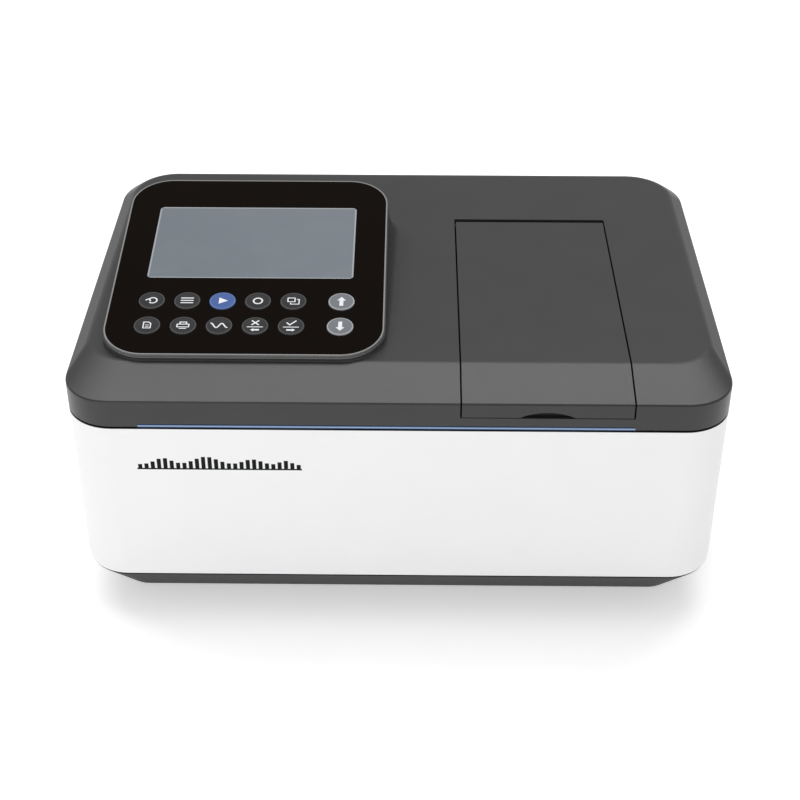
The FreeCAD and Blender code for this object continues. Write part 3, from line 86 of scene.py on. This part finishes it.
# ---------------------------------------------------------------- node graph helpers
def add(tree, kind, inputs=None, **settings):
    """Adds a shader node; inputs are sockets to link or plain values."""
    made = tree.nodes.new(kind)
    for name, value in settings.items():
        setattr(made, name, value)
    for name, value in (inputs or {}).items():
        if isinstance(value, bpy.types.NodeSocket):
            tree.links.new(value, made.inputs[name])
        else:
            made.inputs[name].default_value = value
    return made


def blank_material(name):
    made = bpy.data.materials.new(name)
    made.use_nodes = True
    return made, made.node_tree, made.node_tree.nodes["Principled BSDF"]


def own_place(tree):
    """The surface point in the piece's own frame, in metres."""
    return add(tree, "ShaderNodeTexCoord").outputs["Object"]


def part_of(tree, place, axis):
    """The X, Y or Z of a point."""
    return add(tree, "ShaderNodeSeparateXYZ", {"Vector": place}).outputs[axis]


def distance_from(tree, value, middle):
    offset = add(tree, "ShaderNodeMath", {0: value, 1: middle}, operation="SUBTRACT").outputs[0]
    return add(tree, "ShaderNodeMath", {0: offset}, operation="ABSOLUTE").outputs[0]


def noise(tree, place, size, detail=2.0, rough=0.5):
    """Noise value whose grains are about size metres across."""
    inputs = {"Vector": place, "Scale": 1 / size, "Detail": detail, "Roughness": rough}
    made = add(tree, "ShaderNodeTexNoise", inputs)
    return made.outputs["Fac"]


def between(tree, value, low, high, from_low=0.3, from_high=0.7):
    """Maps a noise value smoothly to the span from low to high."""
    made = add(tree, "ShaderNodeMapRange", {"Value": value, "From Min": from_low, "From Max": from_high,
                                            "To Min": low, "To Max": high})
    return made.outputs["Result"]


def mix_colour(tree, share, first, second):
    """Blend of two colours, each a socket or a plain colour; the second shows where share is 1."""
    made = add(tree, "ShaderNodeMix", data_type="RGBA")
    for socket, value in ((made.inputs[0], share), (made.inputs[6], first), (made.inputs[7], second)):
        if isinstance(value, bpy.types.NodeSocket):
            tree.links.new(value, socket)
        else:
            socket.default_value = (*value, 1.0)
    return made.outputs[2]


def colour_over(material, share, colour):
    """Lays a colour over a material's base colour where share is 1."""
    tree = material.node_tree
    base = tree.nodes["Principled BSDF"].inputs["Base Color"]
    under = base.links[0].from_socket
    tree.links.new(mix_colour(tree, share, under, colour), base)


def shade(colour, factor):
    return tuple(min(1.0, c * factor) for c in colour)


def edge_wear(tree):
    """Share of wear: high where a rounded edge would turn away from the flat surface."""
    rounded = add(tree, "ShaderNodeBevel", {"Radius": WEAR_WIDTH}, samples=4).outputs["Normal"]
    flat = add(tree, "ShaderNodeNewGeometry").outputs["Normal"]
    agree = add(tree, "ShaderNodeVectorMath", {0: rounded, 1: flat}, operation="DOT_PRODUCT")
    return between(tree, agree.outputs["Value"], 1.0, 0.0, from_low=0.80, from_high=0.99)


def finish_material(name, colour, roughness, grain=0.5 * MM, bump=0.02 * MM, spread=0.06, vary=0.05,
                    wear=0.3, metallic=0.0, coat=0.0, specular=0.5, stretch=None):
    """Surface with fine grain, patches of roughness, slow colour drift and lighter edges."""
    made, tree, shader = blank_material(name)
    place = own_place(tree)
    fine_place = place
    if stretch:
        fine_place = add(tree, "ShaderNodeMapping", {"Vector": place, "Scale": stretch}).outputs["Vector"]
    fine = noise(tree, fine_place, grain, 3.0, 0.6)
    broad = noise(tree, place, DRIFT_SIZE, 2.0)
    darker, lighter = shade(colour, 1 - vary), shade(colour, 1 + vary)
    drift = mix_colour(tree, between(tree, broad, 0.0, 1.0), darker, lighter)
    worn = add(tree, "ShaderNodeMath", {0: edge_wear(tree), 1: wear}, operation="MULTIPLY").outputs[0]
    tree.links.new(mix_colour(tree, worn, drift, shade(colour, WEAR_SHADE)), shader.inputs["Base Color"])
    tree.links.new(between(tree, fine, roughness - spread, roughness + spread), shader.inputs["Roughness"])
    lumps = add(tree, "ShaderNodeBump", {"Height": fine, "Strength": 1.0, "Distance": bump})
    tree.links.new(lumps.outputs["Normal"], shader.inputs["Normal"])
    shader.inputs["Metallic"].default_value = metallic
    shader.inputs["Coat Weight"].default_value = coat
    shader.inputs["Specular IOR Level"].default_value = specular
    return made


# ---------------------------------------------------------------- special materials
def strip_material():
    """Blue strip: dark edges and a painted highlight, a light line along its middle."""
    low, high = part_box("accent_strip")
    made = finish_material("strip_blue", (0.02, 0.06, 0.17), 0.3, bump=0.003 * MM)
    tree = made.node_tree
    away = distance_from(tree, part_of(tree, own_place(tree), "Z"), (low.z + high.z) / 2)
    # painted highlight along the strip's middle
    colour_over(made, between(tree, away, 1.0, 0.0, *STRIP_HIGHLIGHT), (0.27, 0.40, 0.58))
    return made


def paint_seam_shadow(material, level):
    """Paints a moulding's rim dark above a height: painted shadow standing in for the shade in the seam's
    gap, so that the seam reads as a line.
    """
    tree = material.node_tree
    height = part_of(tree, own_place(tree), "Z")
    share = between(tree, height, 0.0, 1.0, level - SEAM_SHADOW_FADE, level + SEAM_SHADOW_FADE)
    # painted shadow: near-black over the rim, where the seam gap is in shade
    colour_over(material, share, (0.008, 0.008, 0.009))
    return material


def key_material(key_node, colour, highlight_colour):
    """Key cap: satin face and a slightly lighter ring near its edge, a painted highlight on its rim."""
    made = finish_material(f"{key_node}_plastic", colour, 0.45, grain=0.3 * MM, bump=0.004 * MM, specular=0.2)
    tree = made.node_tree
    inputs = {0: own_place(tree), 1: key_top(key_node)}
    offset = add(tree, "ShaderNodeVectorMath", inputs, operation="SUBTRACT").outputs[0]
    radius = add(tree, "ShaderNodeVectorMath", {0: offset}, operation="LENGTH").outputs["Value"]
    # painted highlight ring near the key's edge
    colour_over(made, between(tree, radius, 0.0, 1.0, *KEY_HIGHLIGHT_RING), highlight_colour)
    return made


def screen_face():
    """Middle and half sizes, across and up the panel, of the screen's glass."""
    shape = nodes["display_module"]
    turn = shape.matrix_world.to_3x3()
    facing = [f for f in shape.data.polygons if (turn @ f.normal).dot(PANEL_OUT) > FLAT_MATCH]
    spots = [shape.matrix_world @ shape.data.vertices[v].co for f in facing for v in f.vertices]
    front = max(spot.dot(PANEL_OUT) for spot in spots)
    glass = [spot for spot in spots if spot.dot(PANEL_OUT) > front - 0.01 * MM]
    sizes = []
    for places in ([spot.x for spot in glass], [spot.dot(PANEL_UP) for spot in glass]):
        low, high = min(places), max(places)
        sizes += [(low + high) / 2, (high - low) / 2]
    return sizes


def edge_highlight_share(tree, place):
    """Share of the painted highlight line along the glass's edge."""
    middle_x, half_x, middle_up, half_up = screen_face()
    across = part_of(tree, place, "X")
    up = add(tree, "ShaderNodeVectorMath", {0: place, 1: PANEL_UP}, operation="DOT_PRODUCT").outputs["Value"]
    deep, shallow = GLASS_EDGE_HIGHLIGHT
    shares = []
    for along, middle, half in ((across, middle_x, half_x), (up, middle_up, half_up)):
        offset = distance_from(tree, along, middle)
        shares.append(between(tree, offset, 0.0, 1.0, half - deep, half - shallow))
    return add(tree, "ShaderNodeMath", {0: shares[0], 1: shares[1]}, operation="MAXIMUM").outputs[0]


def screen_material():
    """Unlit liquid crystal glass: grey, a little lighter to one side, with a fine dot pitch and a painted
    highlight line along its edge.
    """
    made, tree, shader = blank_material("screen")
    place = own_place(tree)
    low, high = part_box("display_module")
    share = between(tree, part_of(tree, place, "X"), 0.0, 1.0, low.x, high.x)
    base = mix_colour(tree, share, (0.142, 0.166, 0.190), (0.160, 0.183, 0.208))
    dots = noise(tree, place, 0.35 * MM, 1.0)
    specks = mix_colour(tree, between(tree, dots, 0.0, 0.06), base, (0.25, 0.28, 0.30))
    # painted highlight line along the glass's edge
    highlighted = mix_colour(tree, edge_highlight_share(tree, place), specks, (0.34, 0.36, 0.38))
    tree.links.new(highlighted, shader.inputs["Base Color"])
    tree.links.new(between(tree, noise(tree, place, 25 * MM), 0.16, 0.24), shader.inputs["Roughness"])
    lumps = add(tree, "ShaderNodeBump", {"Height": dots, "Strength": 0.4, "Distance": 0.002 * MM})
    tree.links.new(lumps.outputs["Normal"], shader.inputs["Normal"])
    return made


def glass_material(name, colour, smear_rough):
    """Clear glass with faint smears."""
    made, tree, shader = blank_material(name)
    place = own_place(tree)
    shader.inputs["Base Color"].default_value = (*colour, 1)
    shader.inputs["Transmission Weight"].default_value = 0.9
    tree.links.new(between(tree, noise(tree, place, 6 * MM), 0.01, smear_rough), shader.inputs["Roughness"])
    lumps = add(tree, "ShaderNodeBump", {"Height": noise(tree, place, 3 * MM), "Distance": 0.003 * MM})
    tree.links.new(lumps.outputs["Normal"], shader.inputs["Normal"])
    return made


def board_material():
    """Green circuit board with tracks and pads."""
    made = finish_material("board", (0.012, 0.11, 0.045), 0.35, grain=0.4 * MM, bump=0.004 * MM)
    tree = made.node_tree
    inputs = {"Vector": own_place(tree), "Scale": 1 / TRACK_PITCH, "Mortar Size": 0.05}
    tracks = add(tree, "ShaderNodeTexBrick", inputs)
    colour_over(made, tracks.outputs["Fac"], (0.03, 0.20, 0.08))
    return made


def key_top(key_node):
    """Lowest point of the shallow dish in a key's upper face."""
    low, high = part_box(key_node)
    x, y = (low.x + high.x) / 2, (low.y + high.y) / 2
    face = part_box("panel_membrane")[1]
    face_y = face.y - MEMBRANE_THICK * math.sin(PANEL_TILT)
    panel = face.z + (y - face_y) * math.tan(PANEL_TILT)
    flange = panel - (FLANGE_DEPTH - MEMBRANE_SINK) / math.cos(PANEL_TILT)
    return Vector((x, y, flange)) + PANEL_OUT * (FLANGE_DEPTH + DISH_LEVEL)


# ---------------------------------------------------------------- marks
def ribbon(points, width, closed=False):
    """Outline pieces of a line of even width through points: one quad per run and a disc per joint."""
    shapes = []
    count = len(points)
    for i in range(count if closed else count - 1):
        (x0, y0), (x1, y1) = points[i], points[(i + 1) % count]
        length = math.hypot(x1 - x0, y1 - y0)
        nx, ny = -(y1 - y0) / length * width / 2, (x1 - x0) / length * width / 2
        shapes.append([(x0 + nx, y0 + ny), (x0 - nx, y0 - ny), (x1 - nx, y1 - ny), (x1 + nx, y1 + ny)])
    for x, y in points:
        shapes.append([(x + width / 2 * math.cos(a), y + width / 2 * math.sin(a)) for a in circle_angles(12)])
    return shapes


def circle_angles(count):
    return [2 * math.pi * i / count for i in range(count)]


def arc(cx, cy, radius, start, end, count=16):
    """Points on an arc, angles in degrees."""
    angles = [math.radians(start + (end - start) * i / count) for i in range(count + 1)]
    return [(cx + radius * math.cos(a), cy + radius * math.sin(a)) for a in angles]


def mark(name, body, shapes, origin, across, up, out, material, bowl=None):
    """Thin printed mark of outlines in millimetres, laid on a flat or gently dished surface."""
    mesh = bmesh.new()
    for level, outline in enumerate(shapes):
        corners = []
        for x, y in outline:
            lift = MARK_LIFT + level * LAYER_STEP
            if bowl:
                lift += (x * x + y * y) / (2 * bowl) * MM
            corners.append(origin + across * (x * MM) + up * (y * MM) + out * lift)
        lower = [mesh.verts.new(c) for c in corners]
        upper = [mesh.verts.new(c + out * MARK_THICK) for c in corners]
        mesh.faces.new(list(reversed(lower)))
        mesh.faces.new(upper)
        for i in range(len(corners)):
            j = (i + 1) % len(corners)
            mesh.faces.new((lower[i], lower[j], upper[j], upper[i]))
    bmesh.ops.recalc_face_normals(mesh, faces=mesh.faces)
    return piece(name, mesh, body, material)


def piece(name, mesh, body, material):
    """New object from a mesh, riding on a body, with one material."""
    data = bpy.data.meshes.new(name)
    mesh.to_mesh(data)
    mesh.free()
    made = bpy.data.objects.new(name, data)
    bpy.context.scene.collection.objects.link(made)
    data.materials.append(material)
    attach(made, body)
    return made


def facet(node, direction):
    """Middle and outward normal of the flat face of a node that looks most nearly one way."""
    shape = nodes[node]
    turn = shape.matrix_world.to_3x3()
    place = shape.matrix_world
    faces = [((turn @ f.normal).normalized(), place @ f.center, f.area) for f in shape.data.polygons]
    normal = max(faces, key=lambda face: face[0].dot(direction))[0]
    flat = [face for face in faces if face[0].dot(normal) > FLAT_MATCH]
    area = sum(face[2] for face in flat)
    return sum((face[1] * face[2] for face in flat), Vector()) / area, normal


def block_arrow(way, reach, shaft, head, head_long):
    """Filled arrow centred on the middle, as a quad and a triangle; way is a unit direction."""
    dx, dy = way

    def turned(along, side):
        return (along * dx - side * dy, along * dy + side * dx)

    neck = reach - head_long
    half = shaft / 2
    body = [turned(-reach, -half), turned(neck, -half), turned(neck, half), turned(-reach, half)]
    return [body, [turned(neck, -head / 2), turned(reach, 0), turned(neck, head / 2)]]


def moved(shapes, dx, dy):
    return [[(x + dx, y + dy) for x, y in shape] for shape in shapes]


def key_legends():
    """Pictograms of the twelve keys, in millimetres about each key's middle."""
    page = [(-2.2, -2.8), (-2.2, 2.8), (0.8, 2.8), (2.2, 1.4), (2.2, -2.8)]
    wave_xs = [-5 + 0.5 * i for i in range(21)]
    wave = [(x, 2.0 * math.sin(math.pi * x / 3.3)) for x in wave_xs]
    return_barbs = ribbon([(-3.6, 0.2), (-1.8, 1.4), (-0.8, -0.6)], BOLD)
    front_sheet = ribbon([(-3.4, -0.6), (-3.4, 3), (1, 3), (1, -0.6)], THIN, closed=True)
    rear_sheet = ribbon([(2.4, 1.6), (3.6, 1.6), (3.6, -3), (-1.6, -3), (-1.6, -1.9)], THIN)
    page_lines = ribbon([(-0.9, 0.2), (0.9, 0.2)], FINE) + ribbon([(-0.9, -1.3), (0.9, -1.3)], FINE)
    printer = ribbon([(-3.6, -1.6), (-3.6, 1), (3.6, 1), (3.6, -1.6)], THIN, closed=True)
    printer_paper = ribbon([(-2, 1.2), (-2, 3), (2, 3), (2, 1.2)], THIN) + ribbon([(-2, -3), (2, -3)], THIN)
    underline = ribbon([(-4.6, -1.2), (4.6, -1.2)], THIN)
    cancel = ribbon([(-2, 1), (2, 4.6)], BOLD) + ribbon([(-2, 4.6), (2, 1)], BOLD)
    accept = ribbon([(-2.6, 2.9), (-0.9, 1), (2.8, 4.6)], BOLD)
    return {
        "back_key": ribbon(arc(0.6, -0.1, 2.6, -130, 150), BOLD) + return_barbs,
        "menu_key": [s for y in (2.3, 0, -2.3) for s in ribbon([(-3.6, y), (3.6, y)], BOLD)],
        "start_key": [[(-2.2, -3.0), (3.4, 0.0), (-2.2, 3.0)]],
        "zero_key": ribbon(arc(0, 0, 2.7, 0, 360, 28)[:-1], 1.0, closed=True),
        "batch_key": front_sheet + rear_sheet,
        "file_key": ribbon(page, THIN, closed=True) + page_lines,
        "print_key": printer + printer_paper,
        "wave_key": ribbon(wave, BOLD),
        "left_key": cancel + underline + moved(block_arrow((-1, 0), 2.7, 1.5, 3.0, 1.9), 0, -3.9),
        "right_key": accept + underline + moved(block_arrow((1, 0), 2.7, 1.5, 3.0, 1.9), 0, -3.9),
        "up_key": block_arrow((0, 1), 4.3, 2.4, 5.6, 3.4),
        "down_key": block_arrow((0, -1), 4.3, 2.4, 5.6, 3.4),
    }


def print_keys(material):
    for name, shapes in key_legends().items():
        grown = [[(x * LEGEND_SCALE, y * LEGEND_SCALE) for x, y in shape] for shape in shapes]
        mark(f"{name}_legend", f"{name}_cap", grown, key_top(name),
             X_AXIS, PANEL_UP, PANEL_OUT, material, bowl=DISH_RADIUS)


def print_front(material):
    """Bar drawing of an absorption spectrum on the housing's front, over its base line."""
    left, right, base, height, bars = -180.8, -66.5, 130.9, 10.6, 26
    half_line = 0.6
    floor_share, peak_share = 0.36, 0.64
    bar_start, bar_end = 0.18, 0.82
    pitch = (right - left) / bars
    peaks = ((0.16, 0.07, 0.8), (0.42, 0.10, 1.0), (0.70, 0.08, 0.7), (0.90, 0.05, 0.55))
    low, high = base - half_line, base + half_line
    shapes = [[(left, low), (right, low), (right, high), (left, high)]]
    for i in range(bars):
        share = (i + 0.5) / bars
        rise = sum(tallest * math.exp(-((share - centre) / width) ** 2) for centre, width, tallest in peaks)
        tall = height * (floor_share + peak_share * rise)
        x0, x1 = left + pitch * (i + bar_start), left + pitch * (i + bar_end)
        shapes.append([(x0, base), (x1, base), (x1, base + tall), (x0, base + tall)])
    front = Vector((0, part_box("housing_shell")[0].y, 0))
    mark("front_spectrum", "instrument", shapes, front,
         X_AXIS, Z_AXIS, Vector((0, -1, 0)), material)


def print_rocker(material):
    """On and off signs on the two halves of the power switch."""
    bar = ribbon([(0, -1.5), (0, 1.5)], 0.55)
    ring = ribbon(arc(0, 0, 1.4, 0, 360, 24)[:-1], 0.45, closed=True)
    for sign, shapes, way in (("on", bar, Vector((0, 1, 0))), ("off", ring, Vector((0, 0.92, 0.39)))):
        middle, out = facet("mains_rocker", way)
        up = out.cross(-X_AXIS)
        mark(f"rocker_{sign}", "rocker", shapes, middle, -X_AXIS, up, out, material)


# ---------------------------------------------------------------- materials of the case
def cover_plastic():
    return finish_material("cover_plastic", (0.028, 0.028, 0.029), 0.38, grain=0.6 * MM, specular=0.42)


def base_plastic():
    made = finish_material("base_plastic", (0.016, 0.016, 0.017), 0.55, grain=0.6 * MM, specular=0.3)
    # painted seam shadow on the base's rim under the housing's foot
    return paint_seam_shadow(made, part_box("housing_shell")[0].z - BASE_SHADOW_RIM)


def white_coat():
    made = finish_material("white_coat", (0.85, 0.85, 0.855), 0.42, grain=0.9 * MM, bump=0.006 * MM,
                           vary=0.006, wear=0.05)
    # painted seam shadow on the housing's top rim under the cover
    return paint_seam_shadow(made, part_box("housing_shell")[1].z - HOUSING_SHADOW_RIM)


def rear_coat():
    return finish_material("rear_coat", (0.50, 0.51, 0.52), 0.45, grain=0.7 * MM, bump=0.01 * MM, vary=0.02)


def bezel_grey():
    return finish_material("bezel_grey", (0.20, 0.20, 0.20), 0.4, bump=0.006 * MM)


def membrane_black():
    return finish_material("membrane_black", (0.006, 0.004, 0.003), 0.12, grain=0.4 * MM,
                           bump=0.0006 * MM, spread=0.03, wear=0.0, specular=0.02)


def black_plastic():
    return finish_material("black_plastic", (0.018, 0.018, 0.019), 0.5, bump=0.012 * MM)


def rocker_black():
    return finish_material("rocker_black", (0.02, 0.02, 0.02), 0.22, bump=0.003 * MM)


def rubber():
    return finish_material("rubber", (0.02, 0.02, 0.02), 0.8, grain=0.4 * MM, bump=0.03 * MM)


# ---------------------------------------------------------------- materials of the inside
def anodised_black():
    return finish_material("anodised_black", (0.022, 0.022, 0.024), 0.42, metallic=0.6, bump=0.008 * MM)


def bench_casting():
    return finish_material("bench_casting", (0.42, 0.42, 0.43), 0.5, grain=0.8 * MM, bump=0.05 * MM,
                           metallic=0.9)


def bright_steel():
    """Steel brushed along X."""
    return finish_material("bright_steel", (0.56, 0.56, 0.57), 0.28, metallic=1.0, bump=0.004 * MM,
                           stretch=(0.05, 1, 1))


def motor_steel():
    """Steel brushed along Z."""
    return finish_material("motor_steel", (0.16, 0.16, 0.17), 0.4, metallic=0.8, bump=0.006 * MM,
                           stretch=(1, 1, 0.1))


def brass():
    return finish_material("brass", (0.62, 0.44, 0.16), 0.3, metallic=1.0, bump=0.004 * MM)


def mirror_coat():
    return finish_material("mirror_coat", (0.88, 0.89, 0.91), 0.06, metallic=1.0, spread=0.02,
                           bump=0.0005 * MM, wear=0)


def supply_metal():
    """Sheet metal brushed along X."""
    return finish_material("supply_metal", (0.5, 0.5, 0.5), 0.35, metallic=0.9, bump=0.01 * MM,
                           stretch=(0.1, 1, 1))


# ---------------------------------------------------------------- painting the CAD pieces
def paint(material, *names):
    for name in names:
        data = nodes[name].data
        data.materials.clear()
        data.materials.append(material)


def paint_case():
    paint(cover_plastic(), "top_cover", "lid")
    paint(base_plastic(), "base_pan")
    paint(white_coat(), "housing_shell")
    paint(rear_coat(), "rear_panel")
    paint(strip_material(), "accent_strip")
    paint(bezel_grey(), "panel_bezel")
    paint(membrane_black(), "panel_membrane")
    paint(screen_material(), "display_module")
    paint(black_plastic(), "lid_liner", "mains_inlet", "fuse_drawer", "fan_frame", "fan_rotor",
          "usb_device_socket", "cell_carriage")
    paint(rocker_black(), "mains_rocker")
    paint(rubber(), "well_seal", "rubber_feet")


def paint_inside():
    paint(anodised_black(), "sample_well", "monochromator_box", "monochromator_cover",
          "detector_housing", "slit_plates", "filter_wheel", "lid_hinge_pin")
    paint(bench_casting(), "optical_bench")
    paint(bright_steel(), "guide_rods", "foot_screws", "rear_screws", "usb_host_socket", "lamp_house")
    paint(motor_steel(), "drive_motors", "index_motors")
    paint(brass(), "carriage_pinion", "grating_pinion", "grating_turntable")
    paint(mirror_coat(), "curved_mirrors", "fold_mirror", "source_mirror", "grating")
    paint(glass_material("window_glass", (0.92, 0.96, 0.97), 0.05), "beam_windows")
    paint(glass_material("lamp_glass", (0.95, 0.95, 0.93), 0.08), "deuterium_lamp", "halogen_lamp")
    paint(board_material(), "keypad_board", "photodiode_board", "main_board")
    paint(supply_metal(), "power_supply")


def paint_keys():
    """Dark keys, but for the blue start key and the light grey arrow keys."""
    special = {"start_key": BLUE_KEY, "up_key": GREY_KEY, "down_key": GREY_KEY}
    for name in key_legends():
        # ring is the colour of the key's painted highlight ring
        face, ring = special.get(name, DARK_KEY)
        paint(key_material(name, face, ring), name)


# ---------------------------------------------------------------- studio
def area_light(name, place, aim, width, height, radiance):
    """Softbox of a given radiance, pointed at a spot."""
    data = bpy.data.lights.new(name, "AREA")
    data.shape = "RECTANGLE"
    data.size, data.size_y = width, height
    data.energy = radiance * math.pi * width * height
    lamp = bpy.data.objects.new(name, data)
    lamp.location = place
    lamp.rotation_euler = (Vector(aim) - Vector(place)).to_track_quat("-Z", "Y").to_euler()
    bpy.context.scene.collection.objects.link(lamp)


def floor():
    """Pale paper that glows faintly."""
    grid = bmesh.new()
    bmesh.ops.create_grid(grid, x_segments=1, y_segments=1, size=FLOOR_HALF)
    data = bpy.data.meshes.new("floor")
    grid.to_mesh(data)
    grid.free()
    made = bpy.data.objects.new("floor", data)
    bpy.context.scene.collection.objects.link(made)
    paper = finish_material("floor_paper", (0.93, 0.93, 0.93), 0.8, vary=0.003, wear=0.0)
    glow = paper.node_tree.nodes["Principled BSDF"].inputs
    glow["Emission Color"].default_value = (1, 1, 1, 1)
    glow["Emission Strength"].default_value = FLOOR_GLOW
    data.materials.append(paper)


def studio():
    """Long softbox above and behind, a softer one in front, and an even white surround."""
    top = (0, 0, start_high.z)
    area_light("overhead", (-0.1, 0.62, 1.72), top, width=2.6, height=0.55, radiance=5.5)
    area_light("front_fill", (-0.8, -1.9, 0.9), (0, 0, 0.1), width=1.2, height=1.0, radiance=2.15)
    world = bpy.data.worlds.new("studio")
    world.use_nodes = True
    background = world.node_tree.nodes["Background"].inputs
    background["Color"].default_value = (1, 1, 1, 1)
    background["Strength"].default_value = 0.50
    bpy.context.scene.world = world
    bpy.context.scene.view_settings.view_transform = "Standard"


def camera():
    """The photograph's viewpoint: pitched down 35 degrees, almost square on."""
    pitch, yaw, roll = math.radians(34.98), math.radians(0.533), math.radians(0.094)
    distance = 1.263
    target = Vector((-0.0002, 0, 0.0691))
    level = math.cos(pitch)
    back = Vector((math.sin(yaw) * level, -math.cos(yaw) * level, math.sin(pitch)))
    right = (-back).cross(Z_AXIS).normalized()
    up = right.cross(-back)
    turned_right = right * math.cos(roll) + up * math.sin(roll)
    turned_up = -right * math.sin(roll) + up * math.cos(roll)
    data = bpy.data.cameras.new("camera")
    data.lens, data.sensor_width = 70.8, 36.0
    data.shift_y = 0.0061
    made = bpy.data.objects.new("camera", data)
    made.matrix_world = Matrix((turned_right, turned_up, back)).transposed().to_4x4()
    made.location = target + back * distance
    bpy.context.scene.collection.objects.link(made)
    bpy.context.scene.camera = made


white_ink = finish_material("white_ink", (0.75, 0.76, 0.78), 0.45, bump=0.001 * MM, wear=0.0)
black_ink = finish_material("black_ink", (0.006, 0.006, 0.007), 0.5, bump=0.001 * MM, wear=0.0, specular=0.1)
paint_case()
paint_inside()
paint_keys()
print_keys(white_ink)
print_front(black_ink)
print_rocker(white_ink)
floor()
studio()
camera()
